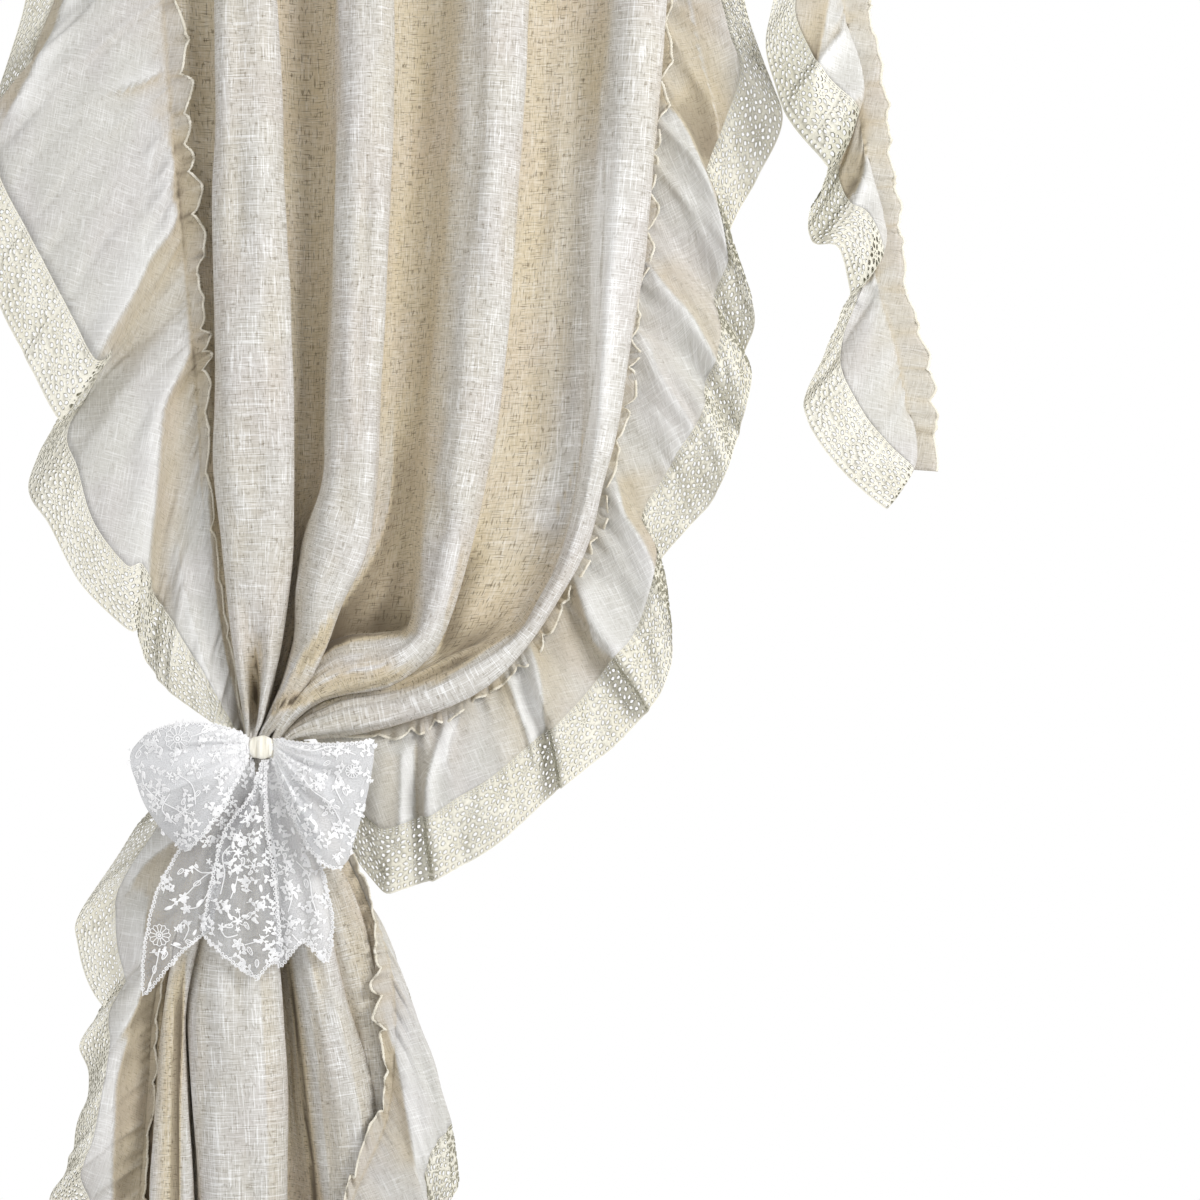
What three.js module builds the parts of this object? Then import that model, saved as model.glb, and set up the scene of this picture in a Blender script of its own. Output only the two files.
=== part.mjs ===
// Ruffled tieback curtain with a side tail, in millimetres: +Z up, the front faces -Y.
// The middle of the heading is the origin. Tables give places from a datum corner 400 mm
// left of it and 500 mm below it: x runs right, drop runs down, depth runs away from the front.
import * as THREE from "three";

const DATUM_X = -400;
const DATUM_DROP = 500;
const HEADING = -500; // drop of the top edge
const TIE = 738; // drop of the tie
const HEM = 1500; // drop of the bottom edge

const LINEN = 1.2; // thickness of the panel and ruffles
const LACE = 1.1; // thickness of the openwork trim
const NET = 1.0; // thickness of the bow's net
const LACE_WIDTH = 65;
const SEWN_GAP = 0.5; // between the linen and the trim sewn to it
const SEAM_OFFSET = 1.8; // between the middles of the panel's edge and of the ruffle sewn on it
const SEAM_ALLOWANCE = 1; // of the panel beyond the left seam
const SEAM_FLAT = 10; // of the panel beside the seam
const TIE_SECTION = 12; // row of the tie in the tables
const TURN_END = 16; // row where the panel's right edge has come round to the front
const TURN_LENGTH = 2; // rows over which it does
const FOOT_DEPTH = 0.4; // of a fold's right foot, as a share of the trough beside it
const TROUGH_SHARES = [0.33, 0.67]; // where the two points of a trough lie across it
const BESIDE_SEAM = 0.6; // where the point beside a seam lies, from the foot to the seam
const BESIDE_EDGE = 0.75; // share of the edge's depth that point has
const SECTION_LENGTH = 60; // between cross-sections of the panel, at most about this
const FRILL_WAVE = 0.8; // share by which the frill's free edge waves about its own stand
const RAY_RISE = 0.04; // of a ray's middle above the straight line, as a share of its run sideways
const RAY_HOLLOW = 1.3; // how late along a ray its depth changes
const MOST_LACE = 0.42; // share of a short ray that is lace
const LINEN_SHARES = [0.2, 0.6, 1]; // rows of a ruffle's linen from the seam to the lace
const GAP_ALONG = 7; // a gap cut in the lace, along the trim
const GAP_ACROSS = 10;
const GAP_ROOM = 3.5; // least length of a cell that has a gap, in gaps
const GAP_WIDTH_SHARE = 0.6; // least width of such a cell, as a share of the trim's
const LEAST_SLANT = 0.25; // sine of the sharpest corner between a ray and the sewn line

const COLOURS = {
  linen: 0xc9c2b2,
  lace: 0xe8e2ca,
  net: 0xf2f2f0,
  band: 0xeeead8,
};

// Sections of the panel, from the heading to the hem. A row for each section of a fold:
// middle x, drop, half width, how far its crest stands forward, how deep a pleat splits it.
const FOLD_COLUMNS = ["x", "drop", "half", "near", "split"];
const FOLDS = [
  [
    [246, HEADING, 25, 26, 0],
    [247, -200, 29, 32, 0],
    [247.5, 0, 31.5, 35, 0],
    [251, 200, 35, 36, 0],
    [255, 400, 39, 36, 0],
    [257, 480, 39, 35, 0],
    [258.5, 540, 35.5, 34, 0],
    [258, 590, 31, 33, 0.05],
    [257.5, 635, 25, 31, 0.35],
    [257, 675, 18.5, 28, 0.9],
    [256.5, 700, 13.5, 26, 1.2],
    [255, 720, 9.5, 24, 1],
    [252, TIE, 4.8, 22, 0],
    [244.5, 775, 7.5, 22, 0],
    [222, 835, 11, 20, 0],
    [197, 910, 11, 18, 0],
    [176, 1000, 11, 18, 0],
    [174, 1100, 16, 20, 0],
    [173, 1200, 20, 22, 0],
    [173, 1350, 20, 24, 0],
    [172, HEM, 20, 24, 0],
  ],
  [
    [372, HEADING, 26, 26, 0],
    [367, -200, 28, 32, 0],
    [364.5, 0, 29.5, 35, 0],
    [362.5, 200, 28.5, 36, 0],
    [353.5, 400, 28, 38, 0],
    [350, 480, 28, 38, 0],
    [337, 540, 33, 37, 0],
    [322, 590, 25, 36, 0],
    [314, 635, 18, 34, 0],
    [299, 675, 14, 32, 0],
    [287, 700, 11, 29, 0],
    [275, 720, 8, 26, 0],
    [264, TIE, 4.8, 23, 0],
    [260, 775, 12, 26, 0],
    [250, 835, 22, 30, 0],
    [240, 910, 36, 33, 0],
    [235, 1000, 48, 35, 0],
    [240.5, 1100, 48, 36, 0.08],
    [243.5, 1200, 45, 36, 0.1],
    [246, 1350, 44, 34, 0.1],
    [248, HEM, 44, 32, 0.1],
  ],
  [
    [505, HEADING, 32, 26, 0],
    [497, -200, 36, 30, 0],
    [492, 0, 38, 32, 0],
    [482, 200, 37, 32, 0],
    [467, 400, 35, 32, 0],
    [455, 480, 32, 32, 0],
    [445, 540, 28, 31, 0],
    [436, 592, 21, 30, 0],
    [420, 640, 17, 30, 0],
    [384, 662, 24, 31, 0],
    [342, 670, 25, 30, 0],
    [304, 695, 14, 27, 0],
    [276, TIE, 4.8, 22, 0],
    [279, 775, 9, 24, 0],
    [289, 835, 15, 28, 0],
    [304, 910, 23, 31, 0],
    [321, 1000, 27, 33, 0],
    [340, 1100, 35, 32, 0],
    [350, 1200, 34, 26, 0],
    [354, 1350, 34, 24, 0],
    [356, HEM, 34, 24, 0],
  ],
  [
    [650, HEADING, 22, 24, 0],
    [641, -200, 27, 28, 0],
    [635, 0, 31, 31, 0],
    [621, 200, 29, 32, 0],
    [603, 400, 19, 32, 0],
    [590, 480, 13, 32, 0],
    [574, 545, 11, 31, 0],
    [546, 600, 11, 30, 0],
    [516, 643, 12, 29, 0],
    [468, 677, 19, 28, 0],
    [403, 704, 17, 26, 0],
    [342, 717, 18, 24, 0],
    [288, TIE, 4.8, 20, 0],
    [293, 775, 8, 14, 0],
    [313, 835, 13, 10, 0],
    [338, 910, 19, 8, 0],
    [361, 1000, 20, 8, 0],
    [374, 1100, 18, 9, 0],
    [380, 1200, 16, 10, 0],
    [384, 1350, 16, 12, 0],
    [386, HEM, 16, 12, 0],
  ],
];

// Points on a fold's two flanks, from its left foot to its right one. How far out each lies is a share
// of the half width, how high it stands a share of the crest, for a soft slope and for a full roll.
// The left foot's height is a share of the trough's depth instead, and the right foot's is a turn.
const FLANK_COLUMNS = ["slopeOut", "slopeHigh", "rollOut", "rollHigh"];
const LEFT_FLANK = [
  [1.25, -0.75, 0.84, -0.4],
  [0.85, 0.05, 1, 0.4],
  [0.42, 0.6, 0.68, 0.88],
];
const RIGHT_FLANK = [
  [0.5, 0.85, 0.66, 0.94],
  [0.9, 0.3, 1, 0.42],
  [1.1, 0, 0.84, 0],
];
const TURNED_OUT = 1.16; // where the last foot lies when the edge comes to the front
const FULL_TURN = 12; // height of that foot at which it lies there

// How each fold of the panel rolls over at its left and right side: 1 is a full roll, 0 a soft slope.
const ROLLS = [
  { left: 1, right: 1 },
  { left: 0.5, right: 1 },
  { left: 0, right: 0.8 },
  { left: 0, right: 1 },
];

// How deep the troughs lie at each section: beside the left seam, then after each fold but the last;
// then the depth at which the last fold turns under to the right seam, or over to it below the tie.
const TROUGHS = [
  [16, 26, 22, 20, 7],
  [18, 32, 26, 22, 7],
  [18, 34, 28, 24, 7],
  [18, 34, 28, 24, 7],
  [18, 34, 28, 22, 7],
  [18, 34, 28, 18, 7],
  [18, 32, 28, 14, 6],
  [18, 30, 27, 10, 6],
  [18, 28, 26, 6, 5],
  [18, 27, 20, 2, 4],
  [18, 26, 12, 2, 3],
  [18, 24, 14, 6, 1],
  [18, 20, 20, 20, 0],
  [18, 20, 22, 20, 4],
  [22, 20, 24, 20, 6],
  [24, 18, 24, 18, 6],
  [26, 16, 24, 16, -7],
  [26, 16, 26, 14, -17],
  [26, 18, 26, 14, -29],
  [26, 20, 26, 14, -25],
  [26, 20, 26, 14, -23],
];

// Seams of the two ruffles at the same sections: x, drop, depth of the seam,
// then where the frill's free edge stands from it: right, down, forwards.
const LEFT_SEAM = [
  [158, HEADING, 4, 20, -4, 5],
  [160, -200, 4, 20, -4, 6],
  [163, 0, 4, 20, -5, 6],
  [179, 200, 4, 21, -6, 6],
  [197, 400, 5, 14, -8, 3],
  [201, 480, 6, 8, -6, 1],
  [208, 540, 7, 7, -5, 0],
  [216, 590, 7, 6, -5, 0],
  [223, 635, 7, 5, -4, 0],
  [230, 675, 7, 4, -4, 0],
  [235, 700, 7, 4, -3, 0],
  [239, 720, 7, 3, -3, 0],
  [242, TIE, 6, 2.5, -1, 2],
  [230, 775, 8, 1.5, -3, 1],
  [206, 835, 10, 6, -5, 2],
  [176, 910, 12, 8, -6, 2],
  [153, 1000, 14, 8, -6, 2],
  [145, 1100, 15, 8, -6, 2],
  [138, 1200, 15, 7, -6, 3],
  [133, 1350, 14, 8, -4, 3],
  [131, HEM, 12, 8, -3, 3],
];
const RIGHT_SEAM = [
  [676, HEADING, 16, 18, -3, 6],
  [664, -200, 16, 19, -3, 6],
  [655, 0, 16, 20, -4, 6],
  [637, 200, 16, 20, -4, 6],
  [612, 400, 16, 20, -3, 6],
  [598, 482, 16, 16, 0, 6],
  [580, 549, 16, 13, 5, 6],
  [552, 605, 15, 10, 9, 6],
  [521, 650, 14, 7, 12, 6],
  [466, 696, 12, 3, 14, 6],
  [404, 722, 10, 0, 14, 6],
  [345, 733, 10, 0, 5, 1],
  [298, TIE, 9, 2, 0.5, 0.3],
  [306, 775, 12, 5, 2, 1],
  [334, 835, 14, 6, 0, 2],
  [369, 903, 10, 1, -6, 8],
  [395, 990, -14, -20, 4, 6],
  [390, 1108, -26, -6, -17, 5],
  [352, 1204, -41, -4, -22, 6],
  [326, 1340, -39, -18, -6, 6],
  [318, HEM, -37, -18, -4, 6],
];
const TAIL_SEAM = [
  [820, HEADING, -12, 24, -2, 3],
  [828, -250, -12, 24, -2, 3],
  [842, 0, -12, 25, -2, 3],
  [857, 100, -12, 25, -2, 3],
  [869, 200, -12, 25, -2, 3],
  [876, 280, -12, 26, -2, 3],
  [895, 350, -12, 27, 0, 3],
  [906, 420, -12, 27, 4, 3],
  [908, 470, -12, 26, 2, 3],
];

// A row for each ridge and trough of a ruffle: where it leaves the seam, counted in sections,
// then the outer edge's x, drop and depth, and how far the middle bows sideways and forwards.
const RAY_COLUMNS = ["section", "x", "drop", "depth", "sway", "bow"];
const LEFT_RAYS = [
  [0, 0, -492, 0, 0, 4],
  [0.25, -5, -400, 22, 0, -4],
  [0.5, -28, -300, -14, 0, 10],
  [0.75, 10, -215, 24, 0, -6],
  [1, -32, -120, -16, 0, 10],
  [1.25, 24, -75, 24, 0, -4],
  [1.4, 42, -8, 25, -4, -4],
  [1.55, 9, 98, 25, -5, -4],
  [1.66, -20, 130, 8, -6, 4],
  [1.82, -46, 168, -12, -6, 10],
  [2.1, -38, 228, -20, -6, 14],
  [2.5, -2, 298, -24, -4, 14],
  [2.85, 32, 364, -26, 0, 12],
  [3.08, 62, 420, -26, 6, 10],
  [3.2, 71, 409, -10, 5, 6],
  [3.32, 66, 409, 1, 2, 1],
  [3.45, 45, 438, 12, -2, -4],
  [3.58, 28, 486, 2, -8, 0],
  [3.68, 52, 525, -20, -14, 10],
  [3.76, 84, 584, -22, -20, 10],
  [3.84, 133, 632, -20, -24, 8],
  [3.96, 150, 610, -6, -16, 4],
  [4.2, 150, 624, 5, -10, 0],
  [4.6, 146, 654, 13, -8, -2],
  [5, 150, 669, 13, -8, -2],
  [6.2, 168, 690, -6, -8, 4],
  [7.8, 204, 716, -10, -4, 4],
  [9.8, 224, 730, -14, 0, 2],
  [12, 237, 744, -20, 0, 0],
  [12.35, 230, 762, -20, 0, 0],
  [12.9, 190, 786, -8, 0, 0],
  [13.4, 152, 806, 4, -6, -2],
  [13.9, 114, 860, 8, -8, -2],
  [14.3, 78, 918, 4, -10, 2],
  [14.7, 79, 950, -2, -8, 4],
  [15, 90, 984, -6, -8, 6],
  [15.3, 104, 1006, -8, -6, 6],
  [15.55, 100, 1010, 6, -4, 0],
  [15.8, 79, 1046, 6, -4, 2],
  [16.1, 90, 1075, -4, -4, 12],
  [16.5, 82, 1118, -12, -4, 20],
  [17, 68, 1166, -16, -4, 22],
  [17.4, 52, 1201, -14, -6, 22],
  [17.8, 60, 1245, 16, -4, 0],
  [18.2, 38, 1300, 12, -4, 6],
  [18.6, 34, 1362, -14, -4, 16],
  [19, 54, 1410, 14, 0, -2],
  [19.4, 30, 1455, -12, 0, 12],
  [19.7, 42, 1488, 10, 0, 0],
  [20, 28, 1508, -4, 0, 4],
];
const RIGHT_RAYS = [
  [0, 790, -496, 18, 0, 0],
  [0.3, 776, -400, 32, 4, -2],
  [0.6, 768, -320, 8, 4, 6],
  [0.85, 782, -235, 32, 4, -2],
  [1.1, 762, -150, 8, 4, 6],
  [1.35, 774, -90, 32, 4, -2],
  [1.58, 748, -50, 10, 6, 4],
  [1.75, 746, 2, 8, 8, 4],
  [1.86, 765, 62, 12, 8, 2],
  [1.96, 784, 116, 24, 4, 0],
  [2.1, 760, 172, 32, 4, -2],
  [2.28, 738, 212, 32, 6, -4],
  [2.4, 731, 230, 25, 8, -1],
  [2.49, 731, 243, 14, 12, 4],
  [2.58, 736, 258, 2, 16, 10],
  [2.75, 755, 316, 0, 10, 8],
  [3, 745, 352, 18, 8, 0],
  [3.2, 753, 376, 4, 12, 6],
  [3.35, 745, 412, 0, 14, 8],
  [3.5, 740, 434, 18, 10, 0],
  [3.65, 730, 464, 0, 16, 10],
  [3.85, 712, 501, 14, 10, 2],
  [4.1, 692, 524, 26, 8, -2],
  [4.35, 664, 556, 26, 6, -4],
  [4.55, 656, 576, 19, 8, -1],
  [4.7, 659, 592, 9, 13, 4],
  [4.86, 667, 612, -1, 18, 10],
  [5.6, 673, 655, -6, 10, 10],
  [6.3, 660, 694, -8, 8, 10],
  [6.66, 648, 710, -14, 4, 10],
  [6.84, 644, 716, 10, 2, -4],
  [7.3, 616, 745, 2, 4, 4],
  [7.8, 585, 770, -8, 6, 10],
  [8.02, 562, 787, -18, 8, 10],
  [8.16, 558, 790, 8, 4, -4],
  [8.5, 532, 814, -4, 2, 6],
  [9, 500, 842, -12, 2, 10],
  [9.4, 468, 862, -12, 0, 10],
  [9.68, 436, 879, -18, 0, 8],
  [9.84, 426, 882, 6, 0, -4],
  [10.1, 404, 889, -2, 0, 2],
  [10.5, 384, 893, 0, 0, 2],
  [10.8, 364, 873, 12, 0, 0],
  [11.1, 348, 842, 20, 0, 0],
  [11.4, 332, 796, 21, 0, 0],
  [11.66, 325, 752, 21, 0, 0],
  [11.84, 314, 739, 20, 0, 0],
  [12, 301, 739, 19, 0, 0],
  [12.35, 304, 762, 20, 0, 0],
  [12.6, 313, 780, 20, 0, 0],
  [12.9, 328, 806, 22, 0, 0],
  [13.3, 346, 852, 26, 2, 0],
  [14, 367, 916, 30, 2, 0],
  [14.5, 381, 946, 28, 2, 0],
  [15, 397, 978, 26, 2, 0],
  [15.3, 409, 1008, 24, 4, 0],
  [15.5, 414, 1036, 20, 6, 0],
  [15.68, 440, 1115, 22, 8, 0],
  [15.84, 458, 1178, -10, 14, 10],
  [16.4, 450, 1200, -22, 10, 14],
  [16.9, 440, 1222, -18, 8, 17],
  [17.4, 452, 1262, -34, 8, 17],
  [17.9, 434, 1292, -26, 6, 13],
  [18.3, 458, 1345, -42, 4, 14],
  [18.8, 440, 1392, -24, 2, 10],
  [19.2, 458, 1432, -46, 2, 14],
  [19.6, 442, 1472, -26, 2, 10],
  [20, 456, 1508, -38, 0, 10],
];
const TAIL_RAYS = [
  [0, 786, -490, 17.2, 0, 0],
  [0.4, 792, -380, -4, 0, 0],
  [0.8, 770, -300, -34, 4, 6],
  [1.1, 790, -215, -4, 0, 0],
  [1.4, 768, -130, -34, 4, 6],
  [1.65, 788, -60, -8, 0, 0],
  [1.8, 771, 8, -12, -2, 2],
  [1.9, 765, 48, -14, -2, 4],
  [2, 774, 88, -22, 4, 6],
  [2.1, 788, 125, -28, 12, 8],
  [2.2, 822, 168, -38, 24, 8],
  [2.34, 825, 173, -27, 22, 5],
  [2.52, 824, 182, -17, 17, 1],
  [2.8, 817, 197, -8, 11, -3],
  [3.1, 808, 220, -3, 10, -8],
  [3.5, 813, 245, -14, 14, 2],
  [3.7, 836, 250, -26, 18, 8],
  [3.9, 847, 292, -36, 26, 9],
  [4.05, 846, 298, -26, 23, 5],
  [4.22, 842, 308, -16, 17, 1],
  [4.6, 826, 350, -6, 8, -3],
  [5.2, 806, 392, -5, 4, -3],
  [5.7, 805, 418, -18, 2, 6],
  [6.2, 823, 451, -24, 6, 8],
  [6.6, 850, 482, -30, 12, 10],
  [7, 880, 508, -38, 20, 10],
  [7.4, 889, 504, -12, 8, 0],
  [8, 894, 496, -8, 3, 0],
];

// Bow. The band round the bundle and the knot, as half sizes and middles.
const BAND = { x: 268, drop: 749, depth: -1, halfWide: 41.2, halfDeep: 31, tall: 15, corner: 3.2 };
const KNOT = { x: 265.5, drop: 745.5, depth: -41.6, halfWide: 11.5, halfTall: 12, halfDeep: 8.3 };
const KNOT_CORNER = 0.62; // a power: 1 is an ellipsoid, less is squarer
const KNOT_RIBS = { perUnit: 9, height: 0.05 };

// Loops of the bow. A row for each pleat, from the top edge round to the bottom one: where it leaves
// the knot, where its outer fold lies, how far its middle drops, and how far it puffs forwards.
const PLEAT_COLUMNS = ["rootX", "rootDrop", "x", "drop", "sag", "puff"];
const LOOP_STATIONS = [0, 0.15, 0.38, 0.62, 0.85, 1]; // from the knot to the outer fold
// Depth of a loop's two layers: at the knot, its change to the outer fold, and the puff between.
const LOOP_FRONT = { root: -45, lean: -10, puffShare: 0.85, puff: 0, sagShare: 1 };
const LOOP_BACK = { root: -41, lean: -11, puffShare: 0, puff: 15, sagShare: 0.9 };
const LEFT_LOOP = [
  [253.4, 736, 151, 734, -15, 16],
  [253.4, 739, 139, 748, -8, 24],
  [253.4, 742, 138, 762, -6, 17],
  [253.4, 745, 143, 778, 0, 26],
  [253.4, 748, 152, 802, 4, 18],
  [253.4, 751, 170, 828, 8, 26],
  [253.4, 755, 191, 847, 12, 18],
];
const RIGHT_LOOP = [
  [277.6, 737, 378, 738, 4, 16],
  [277.6, 740, 377, 758, 6, 24],
  [277.6, 743, 373, 782, 6, 17],
  [277.6, 746, 367, 808, 8, 26],
  [277.6, 749, 359, 834, 10, 18],
  [277.6, 752, 352, 856, 14, 26],
  [277.6, 755, 343, 864, 26, 18],
];

// Tails of the bow. A row for each section: left edge, right edge, depth and how far the middle dips.
const TAIL_COLUMNS = ["leftX", "leftDrop", "rightX", "rightDrop", "depth", "dip"];
const TAIL_PLEATS = { count: 2, height: 1.8, points: 9 };
const BOW_TAILS = {
  bow_tail_left: [
    [254.5, 757.6, 260.5, 757.4, -39.5, 0],
    [228, 790, 246, 800, -42, 0],
    [204, 822, 234, 835, -44, 0],
    [182, 856, 224, 872, -44, 2],
    [163, 895, 216, 905, -44, 4],
    [152, 950, 213, 918, -43, 2],
    [151, 991, 211, 927, -43, -6],
  ],
  bow_tail_middle: [
    [261, 757.75, 268, 757.75, -43, 0],
    [245, 790, 267, 792, -48, 0],
    [232, 826, 268, 822, -51, 0],
    [222, 868, 274, 862, -51, 2],
    [215, 903, 279, 905, -51, 8],
    [211, 930, 283, 948, -50, 30],
  ],
  bow_tail_right: [
    [269.5, 757.5, 276, 757.6, -39.5, 0],
    [270, 790, 292, 786, -42, 0],
    [276, 822, 307, 816, -44, 0],
    [282, 862, 318, 851, -44, 0],
    [284, 902, 328, 890, -44, 0],
    [284, 936, 333, 916, -44, -6],
    [285, 964, 329, 958, -43, -26],
  ],
};

// Smooth curve through the rows of a table of numbers; place counts rows and may lie between them.
function smooth(rows, place) {
  const last = rows.length - 1;
  const start = Math.max(0, Math.min(Math.floor(place), last - 1));
  const part = place - start;
  const row = (k) => rows[Math.max(0, Math.min(last, k))];
  const [before, from, to, after] = [-1, 0, 1, 2].map((k) => row(start + k));
  return from.map((value, c) => {
    const leave = (to[c] - before[c]) / 2;
    const arrive = (after[c] - value) / 2;
    const rise = to[c] - value;
    return (
      value +
      part * (leave + part * (3 * rise - 2 * leave - arrive + part * (leave + arrive - 2 * rise)))
    );
  });
}

const named = (columns, values) =>
  Object.fromEntries(columns.map((name, c) => [name, values[c]]));

const mix = (a, b, share) => a + (b - a) * share;

const clamp = (value) => Math.max(0, Math.min(1, value));

function placed(x, drop, depth) {
  return new THREE.Vector3(x + DATUM_X, depth, -(drop + DATUM_DROP));
}

// Direction across a table's curve, to the right of one that runs down.
function across(rows, place) {
  const step = 0.02;
  const end = rows.length - 1;
  const a = smooth(rows, Math.max(0, place - step));
  const b = smooth(rows, Math.min(end, place + step));
  const run = Math.hypot(b[0] - a[0], b[1] - a[1]);
  return { x: (b[1] - a[1]) / run, drop: -(b[0] - a[0]) / run };
}

// Points of one fold's crest and flanks, from left to right.
function foldPoints(index, place, troughLeft, turn) {
  const fold = named(FOLD_COLUMNS, smooth(FOLDS[index], place));
  const side = across(FOLDS[index], place);
  const roll = ROLLS[index];
  const point = (out, depth) =>
    placed(fold.x + side.x * out * fold.half, fold.drop + side.drop * out * fold.half, depth);
  const flank = (rows, rolled) =>
    rows.map((values) => {
      const row = named(FLANK_COLUMNS, values);
      return {
        out: mix(row.slopeOut, row.rollOut, rolled),
        high: mix(row.slopeHigh, row.rollHigh, rolled),
      };
    });
  const [leftFoot, ...left] = flank(LEFT_FLANK, roll.left);
  const [rightFoot, ...right] = flank(RIGHT_FLANK, roll.right).reverse();
  const out = mix(rightFoot.out, TURNED_OUT, clamp(-turn / FULL_TURN));
  return [
    point(-leftFoot.out, -leftFoot.high * troughLeft),
    ...left.map((row) => point(-row.out, -row.high * fold.near)),
    point(0, -(1 - fold.split) * fold.near),
    ...right.reverse().map((row) => point(row.out, -row.high * fold.near)),
    point(out, turn),
  ];
}

// A point of the panel's edge on a seam, inset from it along the cloth. A turn of 0 puts the edge
// behind the ruffle sewn on it, a turn of 1 in front of it.
function seamEdge(seam, place, inset, turn) {
  const [x, drop, depth] = smooth(seam, place);
  const side = across(seam, place);
  const out = inset - SEAM_OFFSET * Math.sin(turn * Math.PI);
  return placed(
    x + side.x * out,
    drop + side.drop * out,
    depth + SEAM_OFFSET * Math.cos(turn * Math.PI),
  );
}

// The panel's cross-section at one place down the folds, from the left seam to the right one.
// Its right edge's face looks back above the tie, and comes round to the front below it.
function panelSection(place) {
  const troughs = smooth(TROUGHS, place);
  const lastTurn = troughs[FOLDS.length];
  const folds = FOLDS.map((_, k) => {
    const turn = k < FOLDS.length - 1 ? FOOT_DEPTH * troughs[k + 1] : lastTurn;
    return foldPoints(k, place, troughs[k], turn);
  });
  const between = (a, b, share, depth) => a.clone().lerp(b, share).setY(depth);
  const flat = seamEdge(LEFT_SEAM, place, SEAM_FLAT * roomBesideSeam(place), 0);
  const points = [
    seamEdge(LEFT_SEAM, place, -SEAM_ALLOWANCE, 0),
    flat,
    between(flat, folds[0][0], BESIDE_SEAM, troughs[0]),
  ];
  folds.forEach((fold, k) => {
    points.push(...fold);
    if (k === FOLDS.length - 1) return;
    TROUGH_SHARES.forEach((share) => {
      points.push(between(fold[fold.length - 1], folds[k + 1][0], share, troughs[k + 1]));
    });
  });
  const edge = seamEdge(RIGHT_SEAM, place, 0, clamp((TURN_END - place) / TURN_LENGTH));
  const foot = points[points.length - 1];
  points.push(between(foot, edge, BESIDE_SEAM, mix(lastTurn, edge.y, BESIDE_EDGE)), edge);
  return points;
}

// Share of the flat seam there is room for: little at the tie.
function roomBesideSeam(place) {
  return mix(0.12, 1, Math.min(1, Math.abs(place - TIE_SECTION) / 5));
}

// Places where the panel is cut into sections, closer together where a section is long.
function panelPlaces() {
  const places = [];
  for (let k = 0; k < FOLDS[0].length - 1; k++) {
    const length = Math.max(
      ...FOLDS.map((rows) =>
        Math.hypot(rows[k + 1][0] - rows[k][0], rows[k + 1][1] - rows[k][1]),
      ),
    );
    const steps = Math.max(1, Math.round(length / SECTION_LENGTH));
    for (let i = 0; i < steps; i++) places.push(k + i / steps);
  }
  places.push(FOLDS[0].length - 1);
  return places;
}

// A ruffle: rays from the frill's free edge over the seam to the outer edge of its lace.
class Ruffle {
  constructor(seam, rays) {
    this.seam = seam;
    this.rays = rays;
  }

  ray(place) {
    return named(RAY_COLUMNS, smooth(this.rays, place));
  }

  // A point of the ruffle; share runs from the seam, 0, to the lace's outer edge, 1.
  point(place, share) {
    const ray = this.ray(place);
    const [x, drop, depth] = smooth(this.seam, ray.section);
    const hump = 4 * share * (1 - share);
    return placed(
      mix(x, ray.x, share) + ray.sway * hump,
      mix(drop, ray.drop, share) - hump * RAY_RISE * Math.abs(ray.x - x),
      mix(depth, ray.depth, Math.pow(share, RAY_HOLLOW)) - ray.bow * hump,
    );
  }

  // Share of the ray where the linen ends and the lace starts.
  laceStart(place) {
    const length = this.point(place, 0).distanceTo(this.point(place, 1));
    return 1 - Math.min(LACE_WIDTH / length, MOST_LACE);
  }

  // A point of the frill's free edge, at one end of its wave, -1, or the other, 1.
  frillPoint(place, wave) {
    const [x, drop, depth, right, down, forwards] = smooth(this.seam, this.ray(place).section);
    return placed(x + right, drop + down, depth - forwards * (1 + FRILL_WAVE * wave));
  }

  // Places of the columns, with a number of steps from each ray to the next.
  places(steps) {
    const last = this.rays.length - 1;
    return Array.from({ length: last * steps + 1 }, (_, k) => k / steps);
  }

  // Rows of points from the frill over the seam to the linen's edge, then the lace's outer edge.
  rows() {
    const columns = this.places(1);
    const fine = this.places(2);
    return [
      fine.map((place, k) => this.frillPoint(place, k % 2 ? 1 : -1)),
      fine.map((place) => this.point(place, 0)),
      ...LINEN_SHARES.map((share) =>
        columns.map((place) => this.point(place, share * this.laceStart(place))),
      ),
      columns.map((place) => this.point(place, 1)),
    ];
  }
}

// Directions in which a surface of triangles faces at its points.
function facing(points, triangles) {
  const normals = points.map(() => new THREE.Vector3());
  const ab = new THREE.Vector3();
  const ac = new THREE.Vector3();
  triangles.forEach(([a, b, c]) => {
    ab.subVectors(points[b], points[a]);
    ac.subVectors(points[c], points[a]);
    const normal = new THREE.Vector3().crossVectors(ab, ac).normalize();
    [a, b, c].forEach((k) => normals[k].add(normal));
  });
  return normals.map((normal) => normal.normalize());
}

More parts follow.
